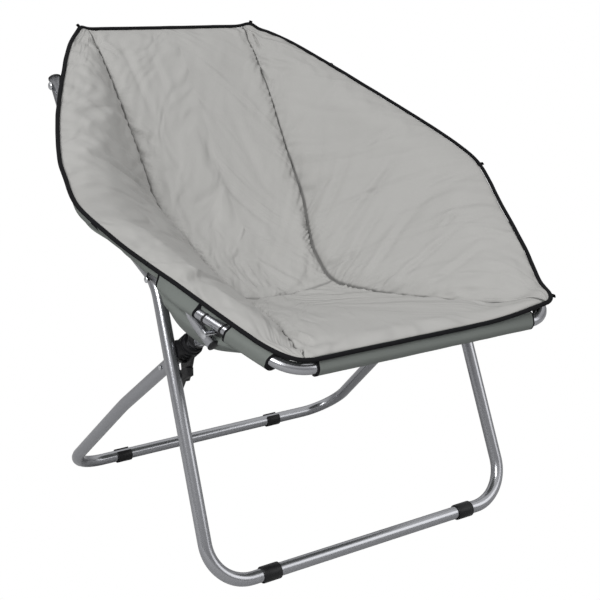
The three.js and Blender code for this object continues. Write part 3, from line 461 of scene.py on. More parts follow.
def stuffed(points, faces, sewn, creased, below):
    """The body swollen by its filling, held where it is sewn."""
    mesh = bpy.data.meshes.new("filling")
    mesh.from_pydata(points.tolist(), [], faces)
    body = bpy.data.objects.new("filling", mesh)
    scene = bpy.context.scene
    scene.collection.objects.link(body)
    held = body.vertex_groups.new(name="sewn")
    held.add([i + layer for i in sewn for layer in (0, below)], 1.0, "REPLACE")
    held.add([i + layer for i in creased for layer in (0, below)], 0.9, "REPLACE")
    cloth = body.modifiers.new("cloth", "CLOTH")
    cloth.settings.quality = 6
    cloth.settings.mass = 0.25
    cloth.settings.tension_stiffness = 14
    cloth.settings.compression_stiffness = 10
    cloth.settings.shear_stiffness = 4
    cloth.settings.bending_stiffness = 0.3
    cloth.settings.use_pressure = True
    cloth.settings.uniform_pressure_force = 3.5
    cloth.settings.shrink_min = -0.018
    cloth.settings.vertex_group_mass = "sewn"
    cloth.settings.effector_weights.gravity = 0
    cloth.point_cache.frame_start = 1
    cloth.point_cache.frame_end = CLOTH_FRAMES
    for step in range(1, CLOTH_FRAMES + 1):
        scene.frame_set(step)
    swollen = body.evaluated_get(bpy.context.evaluated_depsgraph_get()).to_mesh()
    moved = np.empty(len(points) * 3)
    swollen.vertices.foreach_get("co", moved)
    scene.frame_set(1)
    bpy.data.objects.remove(body)
    bpy.data.meshes.remove(mesh)
    change = moved.reshape(-1, 3) - points
    length = np.linalg.norm(change, axis=1, keepdims=True)
    return points + change * np.minimum(1, SWELL_CAP / np.maximum(length, 1e-9))


CLOTH_FRAMES = 20
SWELL_CAP = 9 * MM
PANEL_WIDTH = 250 * MM
STATION_LONG_MM = 96
SEAM_CHANNEL, CHANNEL_WIDTH = 2.4 * MM, 2.6 * MM
CREASE_CHANNEL, CREASE_WIDTH, CREASE_STATION = 2.2 * MM, 5 * MM, 4
PUCKER, PUCKER_REACH, PUCKER_GAP, PUCKER_LEAN = 2.8 * MM, 26 * MM, 3 * MM, 22 * MM
SOFT_RELIEF, FINE_RELIEF = 3.2 * MM, 1.1 * MM
RELIEF_END_BAND, BAND_FADE = 1.92, 0.2
RELIEF_FIRST_ROW, RELIEF_LAST_ROW, ROW_FADE = 0.25, 10.75, 0.6
FOLD_RIDGE, RIDGE_OFFSET, RIDGE_WIDTH = 0.8, 1.9, 1.3
# Each fold runs from one place to another, given as (band, station), and has a depth and a width.
FOLD_STRENGTH, FOLD_FADE = 1.35, 0.3
FOLDS = (
    (-1.80, 6.45, -1.06, 6.95, 3.8 * MM, 6 * MM),
    (-1.62, 6.05, -1.10, 6.30, 2.0 * MM, 6 * MM),
    (-0.33, 5.35, -0.38, 4.10, 3.8 * MM, 6 * MM),
    (-0.62, 5.10, -0.50, 4.15, 2.0 * MM, 6 * MM),
    (-1.02, 8.48, -0.72, 8.25, 3.6 * MM, 5 * MM),
    (-1.02, 8.10, -0.80, 7.95, 2.2 * MM, 5 * MM),
    (-0.96, 10.5, -0.78, 10.0, 2.2 * MM, 5 * MM),
    (-0.72, 10.7, -0.66, 8.60, 2.0 * MM, 11 * MM),
    (-0.40, 10.6, -0.38, 8.90, 1.4 * MM, 11 * MM),
    (-0.15, 8.70, 0.15, 6.90, 1.8 * MM, 12 * MM),
    (0.35, 8.90, 0.55, 7.20, 1.6 * MM, 12 * MM),
    (1.24, 10.7, 1.16, 10.0, 2.4 * MM, 5 * MM),
    (0.98, 4.55, 1.18, 4.00, 3.0 * MM, 5 * MM),
    (0.98, 3.70, 1.22, 4.20, 2.6 * MM, 5 * MM),
    (1.50, 3.35, 1.70, 3.00, 2.6 * MM, 5 * MM),
    (1.56, 2.90, 1.72, 3.20, 2.0 * MM, 5 * MM),
    (1.03, 4.50, 1.70, 5.90, 2.6 * MM, 9 * MM),
    (1.05, 5.60, 1.45, 7.00, 2.2 * MM, 9 * MM),
    (1.05, 6.60, 1.40, 7.90, 1.6 * MM, 9 * MM),
    (1.02, 3.70, 1.50, 5.00, 2.6 * MM, 8 * MM),
    (1.05, 3.00, 1.58, 4.10, 2.4 * MM, 8 * MM),
    (1.06, 2.10, 1.66, 2.60, 2.2 * MM, 8 * MM),
    (1.10, 1.40, 1.70, 1.60, 2.0 * MM, 7 * MM),
    (-1.10, 8.60, -1.60, 8.20, 1.8 * MM, 8 * MM),
    (-1.06, 7.70, -1.70, 7.40, 2.0 * MM, 8 * MM),
    (-0.98, 0.80, -0.84, 0.15, 3.0 * MM, 5 * MM),
    (0.20, 4.02, 0.34, 3.40, 2.0 * MM, 6 * MM),
    (-1.90, 1.80, -1.30, 2.60, 2.0 * MM, 8 * MM),
    (1.30, 1.20, 1.80, 0.80, 1.8 * MM, 8 * MM),
)


def noise_along(first, second, third):
    """Soft noise at rows of places, whose third value may be one number for all."""
    places = zip(first, second, np.broadcast_to(third, len(first)))
    return np.array([noise.noise(Vector(place)) for place in places])


def fold_relief(band, row):
    """Seam channels, puckers beside them and soft folds, as a height at each place on the cover."""
    way = np.sign(band)
    beside = (np.abs(band) - 1) * PANEL_WIDTH
    height = -SEAM_CHANNEL * np.exp(-(beside / CHANNEL_WIDTH) ** 2)
    wander = noise_along(row * 1.3, way * 7.0, 0.5)
    for pitch, lean, share, seed in ((17, 0.9, 1.0, 1.7), (29, -0.6, 0.8, 4.1)):
        phase = row * STATION_LONG_MM / pitch + lean * np.abs(beside) / PUCKER_LEAN + wander * 2
        wave = np.sin(phase * 2 * math.pi + seed * way)
        strength = np.clip(noise_along(row * 2.1, way * 3.0, seed) + 0.45, 0, 1)
        fade = np.exp(-np.abs(beside) / PUCKER_REACH) * (1 - np.exp(-(beside / PUCKER_GAP) ** 2))
        height += PUCKER * share * wave * strength * fade
    crease = (row - CREASE_STATION) * STATION_LONG_MM * MM
    middle = np.clip((1 - np.abs(band)) / 0.06, 0, 1)
    height += -CREASE_CHANNEL * np.exp(-(crease / CREASE_WIDTH) ** 2) * middle
    soft = noise_along(band * 3.2 + row * 0.25, row * 0.42, 3.0)
    fine = noise_along(band * 9.0 - row * 2.6, row * 1.3 + band * 2.0, 8.0)
    inside = np.clip((RELIEF_END_BAND - np.abs(band)) / BAND_FADE, 0, 1)
    inside *= (np.clip((row - RELIEF_FIRST_ROW) / ROW_FADE, 0, 1)
               * np.clip((RELIEF_LAST_ROW - row) / ROW_FADE, 0, 1))
    height += (SOFT_RELIEF * soft + FINE_RELIEF * fine) * inside
    for band_a, row_a, band_b, row_b, depth, width in FOLDS:
        run = np.array([(band_b - band_a) * PANEL_WIDTH, (row_b - row_a) * STATION_LONG_MM * MM])
        span = np.linalg.norm(run)
        run /= span
        off = np.stack([(band - band_a) * PANEL_WIDTH, (row - row_a) * STATION_LONG_MM * MM], axis=1)
        ahead = off @ run
        beside_fold = off @ np.array([-run[1], run[0]])
        ends = np.clip(ahead / (FOLD_FADE * span), 0, 1) * np.clip((span - ahead) / (FOLD_FADE * span), 0, 1)
        ridge = np.exp(-((beside_fold - RIDGE_OFFSET * width) / (RIDGE_WIDTH * width)) ** 2)
        shape = np.exp(-(beside_fold / width) ** 2) - FOLD_RIDGE * ridge
        height -= FOLD_STRENGTH * depth * shape * ends
    return height


def finished_cover():
    """The stuffed body at its final fineness, with seams and folds. Its UV layer holds (band, station)."""
    points, faces, sewn, creased, places, below = padded_body()
    points = stuffed(points, faces, sewn, creased, below)
    mesh = bpy.data.meshes.new("cover")
    mesh.from_pydata(points.tolist(), [], faces)
    layer = mesh.uv_layers.new(name="place")
    for polygon in mesh.polygons:
        polygon.use_smooth = True
        upper = all(i < below for i in polygon.vertices)
        # The lower face takes the second material, the underside cloth, whose colour holds painted shade.
        polygon.material_index = 0 if upper or any(i < below for i in polygon.vertices) else 1
        for loop in polygon.loop_indices:
            layer.data[loop].uv = places[mesh.loops[loop].vertex_index % below]
    body = bpy.data.objects.new("cover", mesh)
    bpy.context.scene.collection.objects.link(body)
    finer = body.modifiers.new("finer", "SUBSURF")
    finer.levels = finer.render_levels = 1
    fine = bpy.data.meshes.new_from_object(body.evaluated_get(bpy.context.evaluated_depsgraph_get()))
    bpy.data.objects.remove(body)
    bpy.data.meshes.remove(mesh)
    count = len(fine.vertices)
    loop_vertex = np.empty(len(fine.loops), int)
    fine.loops.foreach_get("vertex_index", loop_vertex)
    loop_place = np.empty(len(fine.loops) * 2)
    fine.uv_layers["place"].data.foreach_get("uv", loop_place)
    place = np.zeros((count, 2))
    place[loop_vertex] = loop_place.reshape(-1, 2)
    top = np.zeros(count, bool)
    for polygon in fine.polygons:
        if polygon.material_index == 0:
            top[list(polygon.vertices)] = True
    spot = np.empty(count * 3)
    fine.vertices.foreach_get("co", spot)
    normal = np.empty(count * 3)
    fine.vertex_normals.foreach_get("vector", normal)
    height = fold_relief(place[:, 0], place[:, 1]) * np.where(top, 1, 0.4)
    spot = spot.reshape(-1, 3) + normal.reshape(-1, 3) * height[:, None]
    fine.vertices.foreach_set("co", spot.ravel())
    return fine


COVER_CLOTH, nodes, links, shader, weave = grained(
    "grey_polyester", (0.35, 0.347, 0.336), 0.92, grain=1700, cloud=7, tone=0.1, rough_spread=0.1, bump=0.25,
    depth=0.15 * MM)
place = nodes.new("ShaderNodeUVMap")
place.uv_map = "place"
parts = nodes.new("ShaderNodeSeparateXYZ")
links.new(place.outputs["UV"], parts.inputs[0])


def worked_out(operation, first, second=None):
    """The output of a maths node over two inputs, each a socket or a number."""
    step = nodes.new("ShaderNodeMath")
    step.operation = operation
    for value, socket in zip((first, second), step.inputs):
        if isinstance(value, (int, float)):
            socket.default_value = value
        elif value is not None:
            links.new(value, socket)
    return step.outputs[0]


def fading(value, near, far, to_near=1.0, to_far=0.0):
    """A soft ramp between two values of a socket."""
    ramp = nodes.new("ShaderNodeMapRange")
    ramp.interpolation_type = "SMOOTHSTEP"
    for label, number in (("From Min", near), ("From Max", far), ("To Min", to_near), ("To Max", to_far)):
        ramp.inputs[label].default_value = number
    links.new(value, ramp.inputs["Value"])
    return ramp.outputs["Result"]


# Painted shade: the cloth's base colour is darkened by up to 62% along the two seams, and by less along the
# crease across the middle panel, for the shade in their sewn grooves.
to_seam = worked_out("ABSOLUTE", worked_out("SUBTRACT", worked_out("ABSOLUTE", parts.outputs["X"]), 1.0))
to_crease = worked_out("ABSOLUTE", worked_out("SUBTRACT", parts.outputs["Y"], 4.0))
in_middle = fading(worked_out("ABSOLUTE", parts.outputs["X"]), 0.97, 1.0)
in_crease = worked_out("MULTIPLY", fading(to_crease, 0.01, 0.06), in_middle)
painted_seam_shade = worked_out("MAXIMUM", fading(to_seam, 0.004, 0.02), worked_out("MULTIPLY", in_crease, 0.6))
seam_shaded_color = nodes.new("ShaderNodeVectorMath")
seam_shaded_color.operation = "SCALE"
links.new(shader.inputs["Base Color"].links[0].from_socket, seam_shaded_color.inputs[0])
links.new(worked_out("SUBTRACT", 1.0, worked_out("MULTIPLY", painted_seam_shade, 0.62)), seam_shaded_color.inputs["Scale"])
links.new(seam_shaded_color.outputs[0], shader.inputs["Base Color"])
stretched = nodes.new("ShaderNodeCombineXYZ")
links.new(worked_out("ADD", worked_out("MULTIPLY", parts.outputs["X"], 5.0), parts.outputs["Y"]),
          stretched.inputs["X"])
links.new(worked_out("MULTIPLY", parts.outputs["Y"], 9.0), stretched.inputs["Y"])
gathers = nodes.new("ShaderNodeTexNoise")
gathers.inputs["Scale"].default_value = 1.0
gathers.inputs["Detail"].default_value = 2.0
links.new(stretched.outputs[0], gathers.inputs["Vector"])
beside_seam = worked_out("MULTIPLY", fading(to_seam, 0.03, 0.3), fading(to_seam, 0.0, 0.03, 0.0, 1.0))
pulled = nodes.new("ShaderNodeBump")
pulled.inputs["Strength"].default_value = 0.7
pulled.inputs["Distance"].default_value = 3 * MM
links.new(worked_out("MULTIPLY", gathers.outputs["Fac"], beside_seam), pulled.inputs["Height"])
links.new(weave.outputs["Normal"], pulled.inputs["Normal"])
slanted = nodes.new("ShaderNodeCombineXYZ")
from_middle = worked_out("ABSOLUTE", parts.outputs["X"])
links.new(worked_out("ADD", worked_out("MULTIPLY", parts.outputs["X"], 1.3),
                     worked_out("MULTIPLY", parts.outputs["Y"], 0.25)), slanted.inputs["X"])
links.new(worked_out("ADD", worked_out("MULTIPLY", parts.outputs["Y"], 0.9),
                     worked_out("MULTIPLY", from_middle, 1.6)), slanted.inputs["Y"])
creases = nodes.new("ShaderNodeTexNoise")
creases.inputs["Scale"].default_value = 1.0
creases.inputs["Detail"].default_value = 2.0
creases.inputs["Distortion"].default_value = 0.6
links.new(slanted.outputs[0], creases.inputs["Vector"])
ridges = worked_out("ABSOLUTE", worked_out("SUBTRACT", creases.outputs["Fac"], 0.5))
wrinkled = nodes.new("ShaderNodeBump")
wrinkled.inputs["Strength"].default_value = 0.43
wrinkled.inputs["Distance"].default_value = 7 * MM
links.new(fading(ridges, 0.0, 0.2, 0.0, 1.0), wrinkled.inputs["Height"])
links.new(pulled.outputs["Normal"], wrinkled.inputs["Normal"])
links.new(wrinkled.outputs["Normal"], shader.inputs["Normal"])
# Painted shade: the underside cloth gets a much darker colour than the cover, set to the shaded tone of the
# bands under the piping. It colours the pockets and the cover's lower face.
SHADED_UNDER_CLOTH = grained("grey_underside_shaded", (0.135, 0.148, 0.138), 0.93, grain=1700, cloud=7, tone=0.12,
                      rough_spread=0.1, bump=0.25, depth=0.15 * MM)[0]
HINGE_POINT = on_rim(0, HINGE_ALONG, HINGE_LIFT)
ALONG = (on_rim(0, 1, 0) - on_rim(0, 0, 0)).normalized()
RIM_UP = (on_rim(0, 0, 1) - on_rim(0, 0, 0)).normalized()


def half_cover(whole, name, keep_front):
    """The part of the cover in front of the hinge, or behind it, closed by a flat face."""
    bm = bmesh.new()
    bm.from_mesh(whole)
    cut = bmesh.ops.bisect_plane(bm, geom=bm.verts[:] + bm.edges[:] + bm.faces[:], plane_co=HINGE_POINT,
                                 plane_no=ALONG, clear_outer=keep_front, clear_inner=not keep_front)
    rim = [item for item in cut["geom_cut"] if isinstance(item, bmesh.types.BMEdge)]
    for edge in rim:
        edge.smooth = False
    bmesh.ops.triangle_fill(bm, edges=rim, use_beauty=True, use_dissolve=False)
    bmesh.ops.recalc_face_normals(bm, faces=bm.faces)
    return finish_mesh(name, bm, COVER_CLOTH, SHADED_UNDER_CLOTH)


whole_cover = finished_cover()
for name, body, node, keep_front in (
    ("cover_front", "front_rim_half", "front_cushion", True),
    ("cover_rear", "rear_rim_half", "rear_cushion", False),
):
    piece = half_cover(whole_cover, name, keep_front)
    fitted(piece, body, node, "seat_fabric")
    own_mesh(piece)
bpy.data.meshes.remove(whole_cover)

# Piping round the cover's edge: a cord in black binding tape, sewn on with the hem. It parts at the hinge,
# because the two halves of the rim turn there.
PIPING_WIDE, PIPING_HIGH = 7.4 * MM, 6.2 * MM
PIPING_OUTSET = 2.8 * MM
PIPING_LIFT = 0.9 * MM
PIPING_SIDES = 14
PIPING_STEP = 5 * MM
PIPING_WOBBLE = 0.7 * MM
EDGE_COUNT, EDGE_SMOOTHING = 300, 6
BINDING = grained("black_binding", (0.005, 0.005, 0.006), 0.8, grain=2600, cloud=30, tone=0.3,
                  rough_spread=0.15, bump=0.35, depth=0.2 * MM, shine=0.12)[0]


def edge_line():
    """The cover's edge as one closed line of (across, along), up the right side and down the left."""
    corner_points = []
    for side in (1, -1):
        shares = [i / EDGE_COUNT for i in range(EDGE_COUNT + 1)]
        run = [(side * edge_half(share, side), reach(sampled(RIM_ALONG_SHARE, share))) for share in shares]
        corner_points += run if side > 0 else run[::-1]
    line = np.array(corner_points + corner_points[:1])
    lengths = np.concatenate([[0], np.cumsum(np.linalg.norm(np.diff(line, axis=0), axis=1))])
    count = round(lengths[-1] / PIPING_STEP)
    places = np.linspace(0, lengths[-1], count, endpoint=False)
    flat = np.stack([np.interp(places, lengths, line[:, k]) for k in (0, 1)], axis=1)
    for _ in range(EDGE_SMOOTHING):
        flat = (np.roll(flat, 1, axis=0) + 2 * flat + np.roll(flat, -1, axis=0)) / 4
    return flat


def skin(rings):
    """A closed body over a row of rings with the same number of points."""
    bm = bmesh.new()
    loops = []
    for ring in rings:
        verts = [bm.verts.new(point) for point in ring]
        loops.append([bm.edges.new(pair) for pair in zip(verts, verts[1:] + verts[:1])])
    for before, after in zip(loops, loops[1:]):
        bmesh.ops.bridge_loops(bm, edges=before + after)
    for end in (loops[0], loops[-1]):
        bmesh.ops.edgeloop_fill(bm, edges=end)
    bmesh.ops.recalc_face_normals(bm, faces=bm.faces)
    return bm


EDGE = edge_line()
EDGE_AHEAD = np.roll(EDGE, -1, axis=0) - np.roll(EDGE, 1, axis=0)
EDGE_OUT = np.stack([EDGE_AHEAD[:, 1], -EDGE_AHEAD[:, 0]], axis=1)
EDGE_OUT /= np.linalg.norm(EDGE_OUT, axis=1)[:, None]


def piping_ring(index):
    """The outline of the piping at one place of the edge."""
    flat, out = EDGE[index], EDGE_OUT[index]
    lift = edge_lift(flat[1]) + PIPING_LIFT + corner_lift(*flat)
    wobble = noise.noise(Vector((index * 0.13, 0.3, 5.0))) * PIPING_WOBBLE
    ring = []
    for k in range(PIPING_SIDES):
        turn = 2 * math.pi * k / PIPING_SIDES
        reach_out = PIPING_OUTSET + wobble + PIPING_WIDE / 2 * math.cos(turn)
        ring.append(on_rim(flat[0] + out[0] * reach_out, flat[1] + out[1] * reach_out,
                           lift + PIPING_HIGH / 2 * math.sin(turn)))
    return ring


def piping_end(inner, outer, along):
    """The ring between two places of the edge, where the piping is cut at the hinge."""
    share = (along - EDGE[inner][1]) / (EDGE[outer][1] - EDGE[inner][1])
    return [a.lerp(b, share) for a, b in zip(piping_ring(inner), piping_ring(outer))]


HINGE_CUT = 0.3 * MM
in_front = [i for i in range(len(EDGE)) if EDGE[i][1] < HINGE_ALONG - HINGE_CUT]
behind = [i for i in range(len(EDGE)) if EDGE[i][1] > HINGE_ALONG + HINGE_CUT]
first = next(k for k in range(len(in_front))
             if in_front[k] != in_front[k - 1] + 1 and EDGE[in_front[k]][0] < 0)
in_front = in_front[first:] + in_front[:first]
for name, body, node, run, cut in (
    ("piping_front", "front_rim_half", "front_piping", in_front, HINGE_ALONG - HINGE_CUT),
    ("piping_rear", "rear_rim_half", "rear_piping", behind, HINGE_ALONG + HINGE_CUT),
):
    rings = [piping_ring(i) for i in run]
    rings.insert(0, piping_end(run[0], run[0] - 1, cut))
    rings.append(piping_end(run[-1], (run[-1] + 1) % len(EDGE), cut))
    piping = finish_mesh(name, skin(rings), BINDING)
    fitted(piping, body, node, "piping_fabric")
    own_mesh(piping)

# Folded ends of the binding tape: small flat tabs that stick out of the piping at four corners of the cover.
# They are part of the tape.
TAB_LONG, TAB_WIDE, TAB_THICK = 12 * MM, 7 * MM, 1.6 * MM
TAB_OUTSET = PIPING_OUTSET + 3 * MM
TAB_TAPER, TAB_CURL, TAB_EDGE = 0.35, 0.8 * MM, 0.3 * MM


def binding_tab(name, index, turn):
    """A tab at one place of the edge, tapered outwards, curled and tilted up by a share."""
    flat, out = EDGE[index], EDGE_OUT[index]
    centre = on_rim(flat[0] + out[0] * TAB_OUTSET, flat[1] + out[1] * TAB_OUTSET,
                    edge_lift(flat[1]) + PIPING_LIFT + corner_lift(*flat))
    outward = (on_rim(out[0], out[1], 0) - on_rim(0, 0, 0)).normalized()
    outward = (outward + RIM_UP * turn).normalized()
    side = outward.cross(RIM_UP).normalized()
    lift = side.cross(outward)
    bm = bmesh.new()
    bmesh.ops.create_grid(bm, x_segments=6, y_segments=4, size=0.5)
    bmesh.ops.solidify(bm, geom=bm.faces[:], thickness=TAB_THICK / TAB_LONG)
    for vert in bm.verts:
        x, y, z = vert.co
        taper = 1 - TAB_TAPER * max(x, 0)
        vert.co = (centre + outward * x * TAB_LONG + side * y * TAB_WIDE * taper
                   + lift * (z * TAB_LONG + TAB_CURL * math.sin(x * 5)))
    bmesh.ops.bevel(bm, geom=bm.edges[:], offset=TAB_EDGE, segments=2, profile=0.5, affect="EDGES",
                    material=-1)
    bmesh.ops.recalc_face_normals(bm, faces=bm.faces)
    return finish_mesh(name, bm, BINDING)


def edge_index(across, along):
    """The place of the edge that is nearest to (across, along)."""
    gap = np.linalg.norm(EDGE - np.array([across, along]), axis=1)
    return int(np.argmin(gap))


for name, across, along, turn, body in (
    ("binding_tab_back_left", -190 * MM, 533 * MM, 0.5, "rear_rim_half"),
    ("binding_tab_back_right", 190 * MM, 533 * MM, 0.5, "rear_rim_half"),
    ("binding_tab_side_right", 416 * MM, -5 * MM, 0.2, "rear_rim_half"),
    ("binding_tab_front_right", 262 * MM, -398 * MM, -0.1, "front_rim_half"),
):
    tab = binding_tab(name, edge_index(across, along), turn)
    fitted(tab, body, None, "piping_fabric")
    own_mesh(tab)

# Pockets: bands of the unpadded underside cloth that hang from the piping and wrap round the rim tubes. Their
# open ends are bound in black.
# The underside cloth's dark colour holds painted shade from under the piping.
POCKET_WALL = 1.4 * MM
POCKET_BINDING = 3.5 * MM
POCKET_STEP = 6 * MM
POCKET_SWELL, BOUND_SWELL = 0.9 * MM, 0.5 * MM
END_HANG = 3 * MM
HEM_INSET, HEM_RADIUS, HEM_REACH = 2.5 * MM, 2 * MM, 12 * MM


def rim_places(line):
    """A line of points as rows of (across, along, lift)."""
    offset = [point - RIM_CENTRE for point in line]
    return np.array([(p.x, p.dot(ALONG), p.dot(RIM_UP)) for p in offset])


def side_edge(side):
    """Rows of places along one side of the cover, and its half width there."""
    shares = np.linspace(0, 1, EDGE_COUNT + 1)
    return (np.array([reach(sampled(RIM_ALONG_SHARE, t)) for t in shares]),
            np.array([edge_half(t, side) for t in shares]))


def hull_ring(circles, count=30):
    """The outline of a band drawn tight round circles of (place, place, radius)."""
    ring = []
    for k in range(count):
        turn = 2 * math.pi * k / count
        way = (math.cos(turn), math.sin(turn))
        u, v, radius = max(circles, key=lambda c: c[0] * way[0] + c[1] * way[1] + c[2])
        ring.append((u + radius * way[0], v + radius * way[1]))
    return ring


def pocket(name, stations, section, seed):
    """A band over stations, each closed by section(station) -> circles, with bound ends."""
    rings, bound = [], []
    low, high = stations[0], stations[-1]
    for station in stations:
        near_end = min(abs(station - low), abs(station - high)) < POCKET_BINDING
        wavy = POCKET_SWELL * noise.noise(Vector((station * 28, seed, 0.4)))
        swell = BOUND_SWELL if near_end else wavy
        rings.append(section(station, swell))
        bound.append(near_end)
    bm = skin(rings)
    bm.verts.index_update()
    for face in bm.faces:
        if all(bound[vert.index // len(rings[0])] for vert in face.verts):
            face.material_index = 1
    return finish_mesh(name, bm, SHADED_UNDER_CLOTH, BINDING)


def spread(low, high):
    """Stations from low to high, with one just inside the binding at each end."""
    count = max(3, round(abs(high - low) / POCKET_STEP))
    middle = list(np.linspace(low, high, count + 1))
    inset = POCKET_BINDING * 0.9
    return [low, low + inset] + middle[1:-1] + [high - inset, high]


def side_section(side, line, low_edge, hang):
    """The outline of a band at the side: round the tube and up to the cover's edge."""
    alongs, halves = side_edge(side)
    order = np.argsort(line[:, 1])
    tube_along, tube_across, tube_lift = (line[order, k] for k in (1, 0, 2))

    def section(along, swell):
        across = np.interp(along, tube_along, tube_across)
        lift = np.interp(along, tube_along, tube_lift)
        edge = np.interp(along, alongs, halves) + PIPING_OUTSET - HEM_INSET
        radius = RIM_TUBE / 2 + POCKET_WALL + 0.5 * swell
        ring = hull_ring([(across, lift, radius), (across, lift - hang, radius),
                          (edge, edge_lift(along) - low_edge, HEM_RADIUS + 0.4 * swell),
                          (edge - HEM_REACH, edge_lift(along) - low_edge - 4 * MM, HEM_RADIUS)])
        return [on_rim(side * u, along, v) for u, v in ring]
    return section


def end_section(line, edge_along, way):
    """The outline of the band at the front or the back end of the cover."""
    def section(across, swell):
        lift = edge_lift(edge_along)
        tube_along, tube_lift = line[len(line) // 2][1], line[len(line) // 2][2]
        radius = RIM_TUBE / 2 + POCKET_WALL + 0.5 * swell
        edge = edge_along + way * (PIPING_OUTSET - HEM_INSET)
        ring = hull_ring([(tube_along, tube_lift, radius), (tube_along, tube_lift - END_HANG, radius),
                          (edge, lift - 3 * MM, HEM_RADIUS + 0.4 * swell),
                          (edge - way * HEM_REACH, lift - 5 * MM, HEM_RADIUS)])
        return [on_rim(across, u, v) for u, v in ring]
    return section


FRONT_LINE = rim_places(TUBE_LINES["front_rim"])
REAR_LINE = rim_places(TUBE_LINES["rear_rim"])
POCKETS = [
    ("pocket_front", "front_rim_half", "sleeve_front", spread(-208 * MM, 208 * MM),
     end_section(FRONT_LINE, reach(RIM_ALONG_SHARE[0]), -1)),
    ("pocket_back", "rear_rim_half", "sleeve_back", spread(-150 * MM, 150 * MM),
     end_section(REAR_LINE, reach(RIM_ALONG_SHARE[-1]), 1)),
]
for word, side in (("left", -1), ("right", 1)):
    front_half = FRONT_LINE[FRONT_LINE[:, 0] > 0]
    rear_half = REAR_LINE[REAR_LINE[:, 0] > 0]
    rear_half = rear_half[np.argmin(rear_half[:, 1]):]
    POCKETS += [
        (f"pocket_front_side_{word}", "front_rim_half", f"sleeve_front_side_{word}",
         spread(-374 * MM, -300 * MM), side_section(side, front_half, 4 * MM, 8 * MM)),
        (f"pocket_hinge_{word}", "front_rim_half", None,
         spread(-249 * MM, -172 * MM), side_section(side, front_half, 4 * MM, 0)),
        (f"pocket_side_{word}", "rear_rim_half", f"sleeve_side_{word}",
         spread(-40 * MM, 505 * MM), side_section(side, rear_half, 5 * MM, 0)),
    ]
for seed, (name, body, node, stations, section) in enumerate(POCKETS):
    fitted(pocket(name, stations, section, seed * 3.7), body, node, "sleeve_fabric")

# Saddles: black nylon blocks that hug the front rim tube from below and carry the rear leg's bolt. The tube
# lies bare between the two raised ends of each.
BLACK_PLASTIC = grained("black_nylon", (0.007, 0.007, 0.008), 0.42, grain=1500, cloud=25, tone=0.35,
                        rough_spread=0.2, bump=0.25, depth=0.12 * MM, shine=0.3)[0]
SADDLE_LONG = 36 * MM
SADDLE_ALONG = -277 * MM
SADDLE_WALL = 2.2 * MM
SADDLE_BELLY = 3 * MM
SADDLE_RIB_START, SADDLE_RIB_RISE = 0.78, 0.16
SADDLE_END_POWER, SADDLE_END_SHARE = 6, 0.72
BARE_INSET, BARE_DROP, BARE_THIN = 3 * MM, 2.5 * MM, 2.8 * MM
BLOCK_INSET, BLOCK_DROP, BLOCK_RADIUS = 7 * MM, 4 * MM, 6 * MM
SADDLE_HALF_ROWS, SADDLE_SIDES = 12, 32
TURNING_STEPS = 32
BOSS_FOOT = LEG_TUBE / 2 + 1 * MM
BOSS_PROFILE = ((0, 0), (0, 6), (1, 7), (14, 7), (16, 6), (16, 0))


def turned(profile, side=1, centre=(0, 0, 0), into=None):
    """A body turned about an axis along X, from (x, radius) pairs in mm that count outwards on their side."""
    bm = into or bmesh.new()
    across, along, up = centre
    corners = [bm.verts.new((side * (across + x * MM), along, up + radius * MM)) for x, radius in profile]
    outline = [bm.edges.new(pair) for pair in zip(corners, corners[1:])]
    bmesh.ops.spin(bm, geom=corners + outline, axis=(1, 0, 0), cent=(0, along, up), angle=2 * math.pi,
                   steps=TURNING_STEPS, use_merge=True, use_duplicate=False)
    bmesh.ops.remove_doubles(bm, verts=bm.verts, dist=0.001 * MM)
    bmesh.ops.recalc_face_normals(bm, faces=bm.faces)
    return bm


def saddle_ring(side, share):
    """The outline of a saddle at a share of its half length from its middle."""
    half_line = FRONT_LINE[FRONT_LINE[:, 0] > 0]
    half_line = half_line[np.argsort(half_line[:, 1])]
    along = SADDLE_ALONG + share * SADDLE_LONG / 2
    across, lift = (np.interp(along, half_line[:, 1], half_line[:, k]) for k in (0, 2))
    round_end = math.sqrt(max(1 - abs(share) ** SADDLE_END_POWER, 0.03))
    belly = SADDLE_BELLY * (1 - share * share)
    bare = smoothstep(SADDLE_RIB_START - abs(share), 0, SADDLE_RIB_RISE)
    tapered = SADDLE_END_SHARE + (1 - SADDLE_END_SHARE) * round_end
    wrap = (RIM_TUBE / 2 + SADDLE_WALL) * tapered - BARE_THIN * bare
    ring = hull_ring([(across - BARE_INSET * bare, lift - 1 * MM - BARE_DROP * bare, wrap),
                      (across - BLOCK_INSET, lift - BLOCK_DROP - belly, BLOCK_RADIUS * round_end)],
                     count=SADDLE_SIDES)
    return [on_rim(side * u, along, v) for u, v in ring]


for word, side in (("left", -1), ("right", 1)):
    body = skin([saddle_ring(side, k / SADDLE_HALF_ROWS - 1) for k in range(2 * SADDLE_HALF_ROWS + 1)])
    turned(BOSS_PROFILE, side, LEG_BOLT + Vector((BOSS_FOOT, 0, 0)), into=body)
    saddle = finish_mesh(f"saddle_{word}", body, BLACK_PLASTIC)
    fitted(saddle, "front_rim_half", f"rim_saddle_{word}", "black_plastic")

